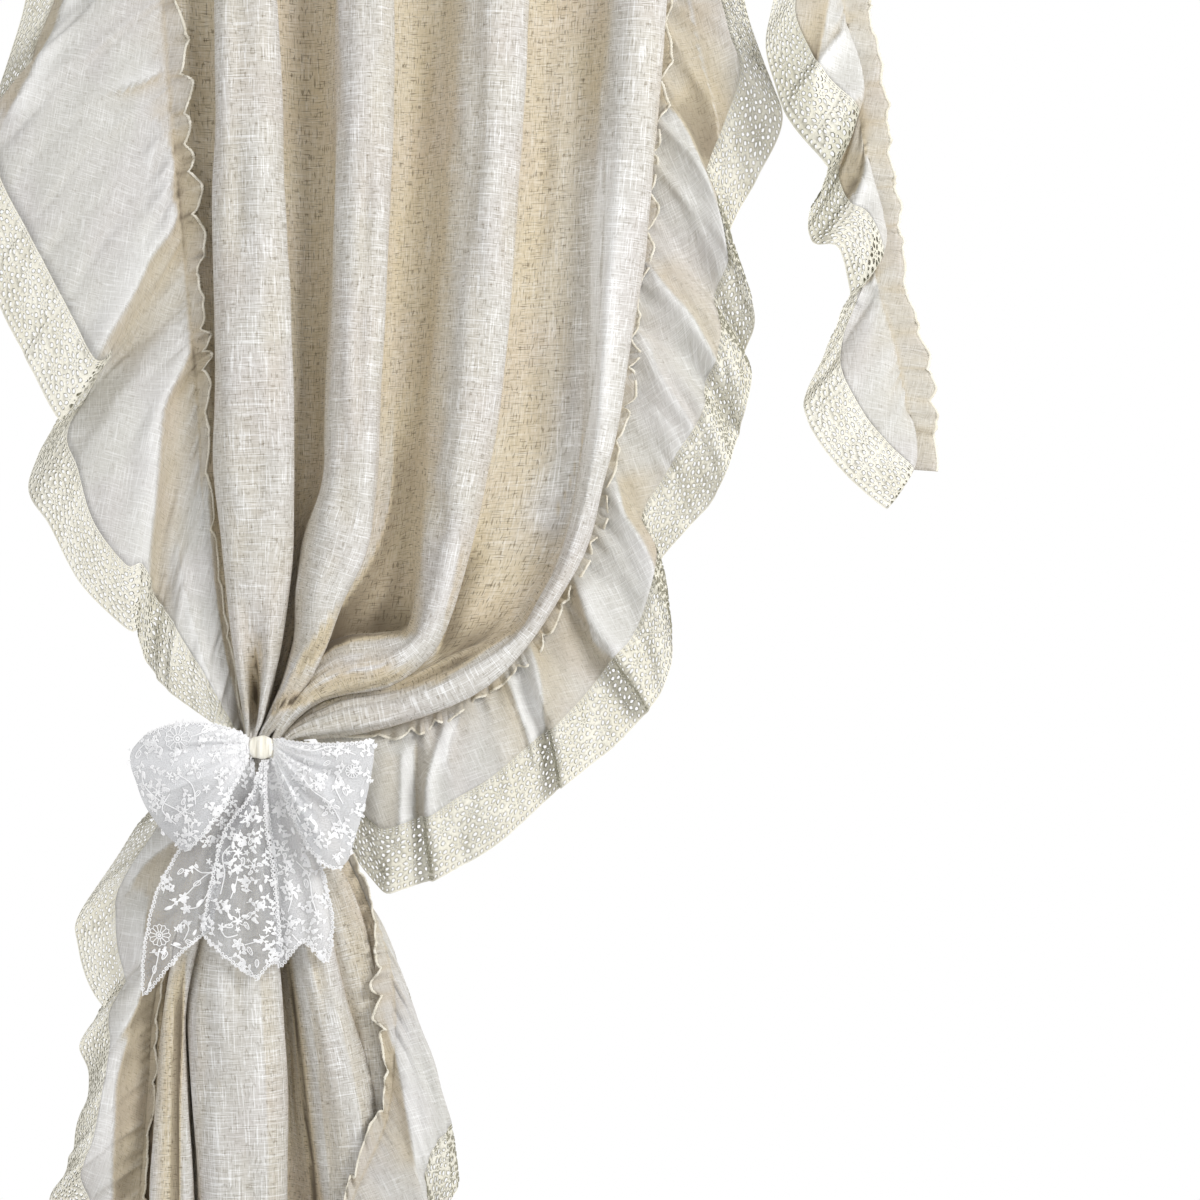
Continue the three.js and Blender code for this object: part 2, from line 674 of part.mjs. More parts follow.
// Closed sheet of a thickness on a surface of triangles that all turn the same way.
function sheet(points, triangles, thickness, normals = facing(points, triangles)) {
  const count = points.length;
  const position = new Float32Array(count * 6);
  points.forEach((point, k) => {
    const offset = normals[k].clone().multiplyScalar(thickness / 2);
    point.clone().add(offset).toArray(position, k * 3);
    point.clone().sub(offset).toArray(position, (count + k) * 3);
  });
  const edges = new Map();
  const index = [];
  triangles.forEach(([a, b, c]) => {
    index.push(a, b, c, count + a, count + c, count + b);
    [[a, b], [b, c], [c, a]].forEach(([p, q]) => {
      if (!edges.delete(`${q},${p}`)) edges.set(`${p},${q}`, [p, q]);
    });
  });
  // Two pieces sewn edge to edge split the faces of their rims the same way.
  edges.forEach(([p, q]) => {
    if (points[p].z > points[q].z) {
      index.push(p, count + p, count + q, p, count + q, q);
    } else {
      index.push(p, count + p, q, q, count + p, count + q);
    }
  });
  return new THREE.BufferGeometry()
    .setAttribute("position", new THREE.BufferAttribute(position, 3))
    .setIndex(index);
}

// Surface through rows of points; a row has as many points as the next one, or twice the steps.
function surface(rows) {
  const points = rows.flat();
  const triangles = [];
  let a = 0;
  for (let r = 0; r < rows.length - 1; r++) {
    const b = a + rows[r].length;
    const ratio = (rows[r].length - 1) / (rows[r + 1].length - 1);
    for (let k = 0; k < rows[r + 1].length - 1; k++) {
      const first = a + k * ratio;
      if (ratio === 1) {
        triangles.push([first, b + k, b + k + 1], [first, b + k + 1, first + 1]);
      } else {
        triangles.push([first, b + k, first + 1]);
        triangles.push([first + 1, b + k, b + k + 1]);
        triangles.push([first + 1, b + k + 1, first + 2]);
      }
    }
    a = b;
  }
  return { points, triangles };
}

function piece(name, geometry, colour) {
  const material = new THREE.MeshStandardMaterial({
    color: colour,
    roughness: 0.9,
    side: THREE.DoubleSide,
  });
  const mesh = new THREE.Mesh(geometry, material);
  mesh.name = name;
  return mesh;
}

function panel() {
  const { points, triangles } = surface(panelPlaces().map(panelSection));
  return piece("panel", sheet(points, triangles, LINEN), COLOURS.linen);
}

// The linen and the lace of one ruffle, which face the same way where they are sewn together.
function ruffle(linenName, laceName, form) {
  const rows = form.rows();
  const whole = surface(rows);
  const normals = facing(whole.points, whole.triangles);
  const linen = surface(rows.slice(0, -1));
  const columns = rows[rows.length - 1].length;
  return [
    piece(linenName, sheet(linen.points, linen.triangles, LINEN, normals), COLOURS.linen),
    laceTrim(laceName, rows.slice(-2), normals.slice(-2 * columns)),
  ];
}

// Lace trim between two rows of points, with one gap cut through each long cell of its openwork.
function laceTrim(name, [linenEdge, outerEdge], facings) {
  const count = linenEdge.length;
  const points = [
    ...linenEdge.map((point, k) => {
      const outwards = outerEdge[k].clone().sub(point);
      const slants = [linenEdge[k - 1], linenEdge[k + 1]]
        .filter((next) => next)
        .map((next) => Math.sin(outwards.angleTo(next.clone().sub(point))));
      const slant = Math.max(LEAST_SLANT, Math.min(...slants));
      return point.clone().addScaledVector(outwards.normalize(), SEWN_GAP / slant);
    }),
    ...outerEdge,
  ];
  const normals = [...facings];
  const triangles = [];
  for (let k = 0; k < count - 1; k++) {
    const cell = [k, count + k, count + k + 1, k + 1];
    const [a, b, c, d] = cell;
    const width = points[a].distanceTo(points[b]);
    const length = points[a].distanceTo(points[d]);
    const outer = points[b].distanceTo(points[c]);
    if (width < LACE_WIDTH * GAP_WIDTH_SHARE || Math.min(length, outer) < GAP_ALONG * GAP_ROOM) {
      triangles.push([a, b, c], [a, c, d]);
      continue;
    }
    const along = GAP_ALONG / (length + outer);
    const over = GAP_ACROSS / width / 2;
    const hole = points.length;
    [[-along, -over], [-along, over], [along, over], [along, -over]].forEach(([s, t]) => {
      const inner = points[a].clone().lerp(points[d], 0.5 + s);
      points.push(inner.lerp(points[b].clone().lerp(points[c], 0.5 + s), 0.5 + t));
      const facing = cell.reduce((sum, n) => sum.add(normals[n]), new THREE.Vector3());
      normals.push(facing.normalize());
    });
    cell.forEach((corner, n) => {
      const next = (n + 1) % 4;
      triangles.push([corner, cell[next], hole + n], [cell[next], hole + next, hole + n]);
    });
  }
  return piece(name, sheet(points, triangles, LACE, normals), COLOURS.lace);
}

// A number with its sign kept and its size raised to a power.
const power = (value, exponent) => Math.sign(value) * Math.pow(Math.abs(value), exponent);

// Band round the gathered bundle, closed on itself.
function tieBand() {
  const steps = 24;
  const rows = [-0.5, 0.5].map((level) =>
    Array.from({ length: steps + 1 }, (_, k) => {
      const turn = ((k % steps) / steps) * 2 * Math.PI;
      return placed(
        BAND.x + BAND.halfWide * power(Math.cos(turn), 2 / BAND.corner),
        BAND.drop + level * BAND.tall,
        BAND.depth - BAND.halfDeep * power(Math.sin(turn), 2 / BAND.corner),
      );
    }),
  );
  const { points, triangles } = surface(rows);
  const closed = triangles.map((corners) =>
    corners.map((n) => (n % (steps + 1) === steps ? n - steps : n)),
  );
  return piece("tie_band", sheet(points, closed, NET), COLOURS.band);
}

// Knot: a rounded block with soft upright ribs.
function knot() {
  const geometry = new THREE.SphereGeometry(1, 16, 8);
  const position = geometry.attributes.position;
  const middle = placed(KNOT.x, KNOT.drop, KNOT.depth);
  const corner = new THREE.Vector3();
  for (let k = 0; k < position.count; k++) {
    corner.fromBufferAttribute(position, k);
    const level = 1 - corner.y * corner.y;
    const rib = 1 + KNOT_RIBS.height * Math.cos(KNOT_RIBS.perUnit * corner.x) * level;
    const [x, forwards, up] = [corner.x, corner.z, corner.y].map((v) => power(v, KNOT_CORNER));
    position.setXYZ(
      k,
      middle.x + KNOT.halfWide * x,
      middle.y - KNOT.halfDeep * forwards * rib,
      middle.z + KNOT.halfTall * up,
    );
  }
  return piece("bow_knot", geometry, COLOURS.band);
}

// Loop of the bow: out from the knot in front, round the outer fold and back behind.
function bowLoop(name, pleats) {
  const columns = Array.from({ length: 2 * pleats.length - 1 }, (_, k) => k / 2);
  const row = (station, layer) =>
    columns.map((place) => {
      const pleat = named(PLEAT_COLUMNS, smooth(pleats, place));
      const hump = 4 * station * (1 - station);
      return placed(
        mix(pleat.rootX, pleat.x, station),
        mix(pleat.rootDrop, pleat.drop, station) + pleat.sag * layer.sagShare * hump,
        layer.root + layer.lean * station - (layer.puffShare * pleat.puff + layer.puff) * hump,
      );
    });
  const back = LOOP_STATIONS.slice(0, -1).reverse();
  const { points, triangles } = surface([
    ...LOOP_STATIONS.map((station) => row(station, LOOP_FRONT)),
    ...back.map((station) => row(station, LOOP_BACK)),
  ]);
  return piece(name, sheet(points, triangles, NET), COLOURS.net);
}

// Tail of the bow, with soft pleats that open towards its end.
function bowTail(name, sections) {
  const places = Array.from({ length: 2 * sections.length - 1 }, (_, k) => k / 2);
  const shares = Array.from({ length: TAIL_PLEATS.points }, (_, k) => k / (TAIL_PLEATS.points - 1));
  const rows = places.map((place) => {
    const part = named(TAIL_COLUMNS, smooth(sections, place));
    const opening = Math.min(1, place / 2);
    return shares.map((share) => {
      const pleat = Math.cos(share * TAIL_PLEATS.count * 2 * Math.PI);
      return placed(
        mix(part.leftX, part.rightX, share),
        mix(part.leftDrop, part.rightDrop, share) + part.dip * 4 * share * (1 - share),
        part.depth + TAIL_PLEATS.height * pleat * opening,
      );
    });
  });
  const { points, triangles } = surface(rows);
  return piece(name, sheet(points, triangles, NET), COLOURS.net);
}

const curtain = new THREE.Group();
curtain.add(
  panel(),
  ...ruffle("ruffle_left", "lace_left", new Ruffle(LEFT_SEAM, LEFT_RAYS)),
  ...ruffle("ruffle_right", "lace_right", new Ruffle(RIGHT_SEAM, RIGHT_RAYS)),
  ...ruffle("side_tail", "side_tail_lace", new Ruffle(TAIL_SEAM, TAIL_RAYS)),
  tieBand(),
  knot(),
  bowLoop("bow_loop_left", LEFT_LOOP),
  bowLoop("bow_loop_right", RIGHT_LOOP),
  ...Object.entries(BOW_TAILS).map(([name, sections]) => bowTail(name, sections)),
);

export default curtain;
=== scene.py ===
"""Looks of a ruffled tieback curtain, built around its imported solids.

Tables give places in millimetres from a datum corner 400 mm left of the heading's middle and
500 mm below it: x runs right, drop runs down, and depth runs away from the front.
"""

import logging
import math
from collections.abc import Sequence
from dataclasses import dataclass, field
from enum import Enum
from functools import cache

import bpy
import numpy as np
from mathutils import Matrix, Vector
from mathutils.geometry import delaunay_2d_cdt
from mathutils.kdtree import KDTree


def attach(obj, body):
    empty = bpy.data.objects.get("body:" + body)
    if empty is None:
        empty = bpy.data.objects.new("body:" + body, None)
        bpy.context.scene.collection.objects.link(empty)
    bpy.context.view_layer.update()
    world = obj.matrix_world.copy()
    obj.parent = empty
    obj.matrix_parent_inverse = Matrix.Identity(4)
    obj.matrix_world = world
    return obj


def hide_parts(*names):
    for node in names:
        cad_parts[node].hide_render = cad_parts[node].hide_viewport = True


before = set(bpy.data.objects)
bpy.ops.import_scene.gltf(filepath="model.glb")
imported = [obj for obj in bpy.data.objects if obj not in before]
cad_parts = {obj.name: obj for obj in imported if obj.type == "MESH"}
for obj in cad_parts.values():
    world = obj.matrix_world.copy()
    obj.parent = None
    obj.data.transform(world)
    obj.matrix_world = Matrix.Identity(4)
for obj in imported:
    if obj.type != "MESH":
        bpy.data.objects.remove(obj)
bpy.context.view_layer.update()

LOG = logging.getLogger("curtain")
MM = 0.001
DATUM_X = -400
DATUM_DROP = 500
TIE_SECTION = 12

Array = np.ndarray
Place = tuple[float, float, float]
Rows = tuple[tuple[float, ...], ...]

FOLD_1: Rows = (
    (246, -500, 25, 26, 0), (247, -200, 29, 32, 0), (247.5, 0, 31.5, 35, 0), (251, 200, 35, 36, 0),
    (255, 400, 39, 36, 0), (257, 480, 39, 35, 0), (258.5, 540, 35.5, 34, 0), (258, 590, 31, 33, 0.05),
    (257.5, 635, 25, 31, 0.35), (257, 675, 18.5, 28, 0.9), (256.5, 700, 13.5, 26, 1.2),
    (255, 720, 9.5, 24, 1), (252, 738, 4.8, 22, 0), (244.5, 775, 7.5, 22, 0), (222, 835, 11, 20, 0),
    (197, 910, 11, 18, 0), (176, 1000, 11, 18, 0), (174, 1100, 16, 20, 0), (173, 1200, 20, 22, 0),
    (173, 1350, 20, 24, 0), (172, 1500, 20, 24, 0),
)
FOLD_2: Rows = (
    (372, -500, 26, 26, 0), (367, -200, 28, 32, 0), (364.5, 0, 29.5, 35, 0), (362.5, 200, 28.5, 36, 0),
    (353.5, 400, 28, 38, 0), (350, 480, 28, 38, 0), (337, 540, 33, 37, 0), (322, 590, 25, 36, 0),
    (314, 635, 18, 34, 0), (299, 675, 14, 32, 0), (287, 700, 11, 29, 0), (275, 720, 8, 26, 0),
    (264, 738, 4.8, 23, 0), (260, 775, 12, 26, 0), (250, 835, 22, 30, 0), (240, 910, 36, 33, 0),
    (235, 1000, 48, 35, 0), (240.5, 1100, 48, 36, 0.08), (243.5, 1200, 45, 36, 0.1),
    (246, 1350, 44, 34, 0.1), (248, 1500, 44, 32, 0.1),
)
FOLD_3: Rows = (
    (505, -500, 32, 26, 0), (497, -200, 36, 30, 0), (492, 0, 38, 32, 0), (482, 200, 37, 32, 0),
    (467, 400, 35, 32, 0), (455, 480, 32, 32, 0), (445, 540, 28, 31, 0), (436, 592, 21, 30, 0),
    (420, 640, 17, 30, 0), (384, 662, 24, 31, 0), (342, 670, 25, 30, 0), (304, 695, 14, 27, 0),
    (276, 738, 4.8, 22, 0), (279, 775, 9, 24, 0), (289, 835, 15, 28, 0), (304, 910, 23, 31, 0),
    (321, 1000, 27, 33, 0), (340, 1100, 35, 32, 0), (350, 1200, 34, 26, 0), (354, 1350, 34, 24, 0),
    (356, 1500, 34, 24, 0),
)
FOLD_4: Rows = (
    (650, -500, 22, 24, 0), (641, -200, 27, 28, 0), (635, 0, 31, 31, 0), (621, 200, 29, 32, 0),
    (603, 400, 19, 32, 0), (590, 480, 13, 32, 0), (574, 545, 11, 31, 0), (546, 600, 11, 30, 0),
    (516, 643, 12, 29, 0), (468, 677, 19, 28, 0), (403, 704, 17, 26, 0), (342, 717, 18, 24, 0),
    (288, 738, 4.8, 20, 0), (293, 775, 8, 14, 0), (313, 835, 13, 10, 0), (338, 910, 19, 8, 0),
    (361, 1000, 20, 8, 0), (374, 1100, 18, 9, 0), (380, 1200, 16, 10, 0), (384, 1350, 16, 12, 0),
    (386, 1500, 16, 12, 0),
)
TROUGHS: Rows = (
    (16, 26, 22, 20, 7), (18, 32, 26, 22, 7), (18, 34, 28, 24, 7), (18, 34, 28, 24, 7), (18, 34, 28, 22, 7),
    (18, 34, 28, 18, 7), (18, 32, 28, 14, 6), (18, 30, 27, 10, 6), (18, 28, 26, 6, 5), (18, 27, 20, 2, 4),
    (18, 26, 12, 2, 3), (18, 24, 14, 6, 1), (18, 20, 20, 20, 0), (18, 20, 22, 20, 4), (22, 20, 24, 20, 6),
    (24, 18, 24, 18, 6), (26, 16, 24, 16, -7), (26, 16, 26, 14, -17), (26, 18, 26, 14, -29),
    (26, 20, 26, 14, -25), (26, 20, 26, 14, -23),
)
LEFT_SEAM: Rows = (
    (158, -500, 4, 20, -4, 5), (160, -200, 4, 20, -4, 6), (163, 0, 4, 20, -5, 6), (179, 200, 4, 21, -6, 6),
    (197, 400, 5, 14, -8, 3), (201, 480, 6, 8, -6, 1), (208, 540, 7, 7, -5, 0), (216, 590, 7, 6, -5, 0),
    (223, 635, 7, 5, -4, 0), (230, 675, 7, 4, -4, 0), (235, 700, 7, 4, -3, 0), (239, 720, 7, 3, -3, 0),
    (242, 738, 6, 2.5, -1, 2), (230, 775, 8, 1.5, -3, 1), (206, 835, 10, 6, -5, 2),
    (176, 910, 12, 8, -6, 2), (153, 1000, 14, 8, -6, 2), (145, 1100, 15, 8, -6, 2),
    (138, 1200, 15, 7, -6, 3), (133, 1350, 14, 8, -4, 3), (131, 1500, 12, 8, -3, 3),
)
RIGHT_SEAM: Rows = (
    (676, -500, 16, 18, -3, 6), (664, -200, 16, 19, -3, 6), (655, 0, 16, 20, -4, 6),
    (637, 200, 16, 20, -4, 6), (612, 400, 16, 20, -3, 6), (598, 482, 16, 16, 0, 6),
    (580, 549, 16, 13, 5, 6), (552, 605, 15, 10, 9, 6), (521, 650, 14, 7, 12, 6), (466, 696, 12, 3, 14, 6),
    (404, 722, 10, 0, 14, 6), (345, 733, 10, 0, 5, 1), (298, 738, 9, 2, 0.5, 0.3), (306, 775, 12, 5, 2, 1),
    (334, 835, 14, 6, 0, 2), (369, 903, 10, 1, -6, 8), (395, 990, -14, -20, 4, 6),
    (390, 1108, -26, -6, -17, 5), (352, 1204, -41, -4, -22, 6), (326, 1340, -39, -18, -6, 6),
    (318, 1500, -37, -18, -4, 6),
)
TAIL_SEAM: Rows = (
    (820, -500, -12, 24, -2, 3), (828, -250, -12, 24, -2, 3), (842, 0, -12, 25, -2, 3),
    (857, 100, -12, 25, -2, 3), (869, 200, -12, 25, -2, 3), (876, 280, -12, 26, -2, 3),
    (895, 350, -12, 27, 0, 3), (906, 420, -12, 27, 4, 3), (908, 470, -12, 26, 2, 3),
)
LEFT_RAYS: Rows = (
    (0, 0, -492, 0, 0, 4), (0.25, -5, -400, 22, 0, -4), (0.5, -28, -300, -14, 0, 10),
    (0.75, 10, -215, 24, 0, -6), (1, -32, -120, -16, 0, 10), (1.25, 24, -75, 24, 0, -4),
    (1.4, 22, -8, 25, -4, -4), (1.55, -9, 98, 25, -5, -4), (1.66, -20, 130, 8, -6, 4),
    (1.82, -46, 168, -12, -6, 10), (2.1, -38, 228, -20, -6, 14), (2.5, -2, 298, -24, -4, 14),
    (2.85, 32, 364, -26, 0, 12), (3.08, 62, 420, -26, 6, 10), (3.2, 71, 409, -10, 5, 6),
    (3.32, 66, 409, 1, 2, 1), (3.45, 45, 438, 12, -2, -4), (3.58, 28, 486, 2, -8, 0),
    (3.68, 52, 525, -20, -14, 10), (3.76, 84, 584, -22, -20, 10), (3.84, 130, 629, -20, -24, 8),
    (3.96, 140, 628, -8, -16, 4), (4.2, 139, 637, 3, -10, 0), (4.6, 141, 657, 11, -8, -2),
    (5, 150, 669, 13, -8, -2), (6.2, 168, 690, -6, -8, 4), (7.8, 204, 716, -10, -4, 4),
    (9.8, 224, 730, -14, 0, 2), (12, 237, 744, -20, 0, 0), (12.35, 230, 762, -20, 0, 0),
    (12.9, 190, 786, -8, 0, 0), (13.4, 152, 806, 4, -6, -2), (13.9, 114, 860, 8, -8, -2),
    (14.3, 78, 918, 4, -10, 2), (14.7, 79, 950, -2, -8, 4), (15, 90, 984, -6, -8, 6),
    (15.3, 104, 1006, -8, -6, 6), (15.55, 100, 1010, 6, -4, 0), (15.8, 79, 1046, 6, -4, 2),
    (16.1, 90, 1075, -4, -4, 12), (16.5, 82, 1118, -12, -4, 20), (17, 68, 1166, -16, -4, 22),
    (17.4, 52, 1201, -14, -6, 22), (17.8, 60, 1245, 16, -4, 0), (18.2, 38, 1300, 12, -4, 6),
    (18.6, 34, 1362, -14, -4, 16), (19, 54, 1410, 14, 0, -2), (19.4, 30, 1455, -12, 0, 12),
    (19.7, 42, 1488, 10, 0, 0), (20, 28, 1508, -4, 0, 4),
)
RIGHT_RAYS: Rows = (
    (0, 790, -496, 18, 0, 0), (0.3, 776, -400, 32, 4, -2), (0.6, 768, -320, 8, 4, 6),
    (0.85, 782, -235, 32, 4, -2), (1.1, 762, -150, 8, 4, 6), (1.35, 774, -90, 32, 4, -2),
    (1.58, 748, -50, 10, 6, 4), (1.75, 746, 2, 8, 8, 4), (1.86, 765, 62, 12, 8, 2),
    (1.96, 784, 116, 24, 4, 0), (2.1, 760, 172, 32, 4, -2), (2.28, 738, 212, 32, 6, -4),
    (2.4, 731, 230, 25, 8, -1), (2.49, 731, 243, 14, 12, 4), (2.58, 736, 258, 2, 16, 10),
    (2.75, 755, 316, 0, 10, 8), (3, 745, 352, 18, 8, 0), (3.2, 753, 376, 4, 12, 6),
    (3.35, 745, 412, 0, 14, 8), (3.5, 740, 434, 18, 10, 0), (3.65, 730, 464, 0, 16, 10),
    (3.85, 712, 501, 14, 10, 2), (4.1, 692, 524, 26, 8, -2), (4.35, 664, 556, 26, 6, -4),
    (4.55, 656, 576, 19, 8, -1), (4.7, 659, 592, 9, 13, 4), (4.86, 667, 612, -1, 18, 10),
    (5.6, 673, 655, -6, 10, 10), (6.3, 660, 694, -8, 8, 10), (6.66, 648, 710, -14, 4, 10),
    (6.84, 644, 716, 10, 2, -4), (7.3, 616, 745, 2, 4, 4), (7.8, 585, 770, -8, 6, 10),
    (8.02, 562, 787, -18, 8, 10), (8.16, 558, 790, 8, 4, -4), (8.5, 532, 814, -4, 2, 6),
    (9, 500, 842, -12, 2, 10), (9.4, 468, 862, -12, 0, 10), (9.68, 436, 879, -18, 0, 8),
    (9.84, 426, 882, 6, 0, -4), (10.1, 404, 889, -2, 0, 2), (10.5, 384, 893, 0, 0, 2),
    (10.8, 364, 873, 12, 0, 0), (11.1, 348, 842, 20, 0, 0), (11.4, 332, 796, 21, 0, 0),
    (11.66, 325, 752, 21, 0, 0), (11.84, 314, 739, 20, 0, 0), (12, 301, 739, 19, 0, 0),
    (12.35, 304, 762, 20, 0, 0), (12.6, 313, 780, 20, 0, 0), (12.9, 328, 806, 22, 0, 0),
    (13.3, 346, 852, 26, 2, 0), (14, 367, 916, 30, 2, 0), (14.5, 381, 946, 28, 2, 0),
    (15, 397, 978, 26, 2, 0), (15.3, 409, 1008, 24, 4, 0), (15.5, 414, 1036, 20, 6, 0),
    (15.68, 440, 1115, 22, 8, 0), (15.84, 458, 1178, -10, 14, 10), (16.4, 450, 1200, -22, 10, 14),
    (16.9, 440, 1222, -18, 8, 17), (17.4, 452, 1262, -34, 8, 17), (17.9, 434, 1292, -26, 6, 13),
    (18.3, 458, 1345, -42, 4, 14), (18.8, 440, 1392, -24, 2, 10), (19.2, 458, 1432, -46, 2, 14),
    (19.6, 442, 1472, -26, 2, 10), (20, 456, 1508, -38, 0, 10),
)
TAIL_RAYS: Rows = (
    (0, 786, -490, 17.2, 0, 0), (0.4, 792, -380, -4, 0, 0), (0.8, 770, -300, -34, 4, 6),
    (1.1, 790, -215, -4, 0, 0), (1.4, 768, -130, -34, 4, 6), (1.65, 788, -60, -8, 0, 0),
    (1.8, 771, 8, -12, -2, 2), (1.9, 765, 48, -14, -2, 4), (2, 774, 88, -22, 4, 6),
    (2.1, 788, 125, -28, 12, 8), (2.2, 822, 168, -38, 24, 8), (2.34, 825, 173, -27, 22, 5),
    (2.52, 824, 182, -17, 17, 1), (2.8, 817, 197, -8, 11, -3), (3.1, 808, 220, -3, 10, -8),
    (3.5, 813, 245, -14, 14, 2), (3.7, 836, 250, -26, 18, 8), (3.9, 847, 292, -36, 26, 9),
    (4.05, 846, 298, -26, 23, 5), (4.22, 842, 308, -16, 17, 1), (4.6, 826, 350, -6, 8, -3),
    (5.2, 806, 392, -5, 4, -3), (5.7, 805, 418, -18, 2, 6), (6.2, 823, 451, -24, 6, 8),
    (6.6, 850, 482, -30, 12, 10), (7, 880, 508, -38, 20, 10), (7.4, 889, 504, -12, 8, 0),
    (8, 894, 496, -8, 3, 0),
)
LEFT_LOOP: Rows = (
    (253.4, 736, 151, 734, -15, 16), (253.4, 739, 139, 748, -8, 24), (253.4, 742, 138, 762, -6, 17),
    (253.4, 745, 143, 778, 0, 26), (253.4, 748, 152, 802, 4, 18), (253.4, 751, 170, 828, 8, 26),
    (253.4, 755, 191, 847, 12, 18),
)
RIGHT_LOOP: Rows = (
    (277.6, 737, 378, 738, 4, 16), (277.6, 740, 377, 758, 6, 24), (277.6, 743, 373, 782, 6, 17),
    (277.6, 746, 367, 808, 8, 26), (277.6, 749, 359, 834, 10, 18), (277.6, 752, 352, 856, 14, 26),
    (277.6, 755, 343, 864, 26, 18),
)
BOW_TAIL_LEFT: Rows = (
    (252.5, 757.6, 257, 757.4, -39.5, 0), (228, 790, 255, 800, -42, 0), (204, 822, 236, 835, -44, 0),
    (182, 856, 224, 872, -44, 2), (163, 895, 216, 905, -44, 4), (152, 950, 213, 918, -43, 2),
    (151, 991, 211, 927, -43, -6),
)
BOW_TAIL_MIDDLE: Rows = (
    (266, 757.75, 270, 757.75, -43, 0), (259, 790, 269, 792, -48, 0), (234, 826, 268, 822, -51, 0),
    (222, 868, 274, 862, -51, 2), (215, 903, 279, 905, -51, 8), (211, 930, 283, 948, -50, 30),
)
BOW_TAIL_RIGHT: Rows = (
    (269.5, 757.5, 276, 757.6, -39.5, 0), (270, 790, 292, 786, -42, 0), (276, 822, 307, 816, -44, 0),
    (282, 862, 318, 851, -44, 0), (284, 902, 328, 890, -44, 0), (284, 936, 333, 916, -44, -6),
    (285, 964, 329, 958, -43, -26),
)


class Held(Enum):
    """How a sheet of cloth is held up."""

    HUNG = "hung"
    GATHERED = "gathered"
    FOLDED = "folded"
    STRETCHED = "stretched"


def mix(a: Array | float, b: Array | float, share: Array | float) -> Array | float:
    """Value between two others, at a share of the way."""
    return a + (b - a) * share


def clamp(value: Array | float) -> Array | float:
    """Value held between nought and one."""
    return np.clip(value, 0.0, 1.0)


def soft_step(value: Array | float, low: float, high: float) -> Array | float:
    """Smooth rise from nought at low to one at high."""
    share = clamp((value - low) / (high - low))
    return share * share * (3 - 2 * share)


def smooth(rows: Rows, places: Array | float) -> Array:
    """Follows a table's rows as a smooth curve.

    Args:
        rows: the table.
        places: where to read it, counted in rows.

    Returns:
        The row's values at each place, in the last axis.
    """
    table = np.asarray(rows, float)
    last = len(table) - 1
    places = np.asarray(places, float)
    start = np.clip(np.floor(places).astype(int), 0, last - 1)
    part = (places - start)[..., None]
    before, here, there, after = (table[np.clip(start + k, 0, last)] for k in (-1, 0, 1, 2))
    leave, arrive, rise = (there - before) / 2, (after - here) / 2, there - here
    bend = 3 * rise - 2 * leave - arrive + part * (leave + arrive - 2 * rise)
    return here + part * (leave + part * bend)


def placed(x: Array, drop: Array, depth: Array) -> Array:
    """Point in the row frame, in metres, from a table's x, drop and depth."""
    x, drop, depth = np.broadcast_arrays(x, drop, depth)
    return np.stack([x + DATUM_X, depth, -(drop + DATUM_DROP)], axis=-1) * MM


def across(rows: Rows, places: Array) -> Array:
    """Direction across a table's curve in x and drop, to the right of one that runs down.

    Args:
        rows: the table.
        places: where, counted in the table's rows.

    Returns:
        The direction at each place, of length one.
    """
    step, end = 0.02, len(rows) - 1
    run = smooth(rows, np.minimum(end, places + step)) - smooth(rows, np.maximum(0, places - step))
    length = np.hypot(run[..., 0], run[..., 1])
    return np.stack([run[..., 1] / length, -run[..., 0] / length], axis=-1)


def rounded(points: Array, steps: Sequence[int]) -> Array:
    """Draws a smooth line through each row of points.

    Args:
        points: rows of points, as (row, point, 3).
        steps: how many steps each stretch between two points is cut into.

    Returns:
        The rows with the steps filled in.
    """
    gaps = np.sqrt(np.maximum(np.linalg.norm(np.diff(points, axis=1), axis=2), 1e-5))[..., None]
    slopes = np.diff(points, axis=1) / gaps
    inner = (slopes[:, :-1] * gaps[:, 1:] + slopes[:, 1:] * gaps[:, :-1]) / (gaps[:, :-1] + gaps[:, 1:])
    tangents = np.concatenate([slopes[:, :1], inner, slopes[:, -1:]], axis=1)
    parts = []
    for k, count in enumerate(steps):
        t = (np.arange(count) / count)[None, :, None]
        start, stop, reach = points[:, k, None], points[:, k + 1, None], gaps[:, k, None]
        leave, arrive = tangents[:, k, None] * reach, tangents[:, k + 1, None] * reach
        rise = stop - start
        bend = 3 * rise - 2 * leave - arrive + t * (leave + arrive - 2 * rise)
        parts.append(start + t * (leave + t * bend))
    return np.concatenate([*parts, points[:, -1:]], axis=1)


def running_length(points: Array, axis: int) -> Array:
    """Length along one axis of a grid of points, from nought at its start.

    Args:
        points: the grid.
        axis: the one to follow.

    Returns:
        The length at each point.
    """
    steps = np.linalg.norm(np.diff(points, axis=axis), axis=-1)
    start = np.zeros_like(np.take(steps, [0], axis=axis))
    return np.concatenate([start, np.cumsum(steps, axis=axis)], axis=axis)


def grid_normals(points: Array) -> Array:
    """Directions in which a grid of points faces: to the front where rows run down.

    Args:
        points: the grid, as (row, column, 3).

    Returns:
        The directions, of length one.
    """
    down = np.gradient(points, axis=0)
    right = np.gradient(points, axis=1)
    normal = np.cross(down, right)
    return normal / np.maximum(np.linalg.norm(normal, axis=-1, keepdims=True), 1e-12)


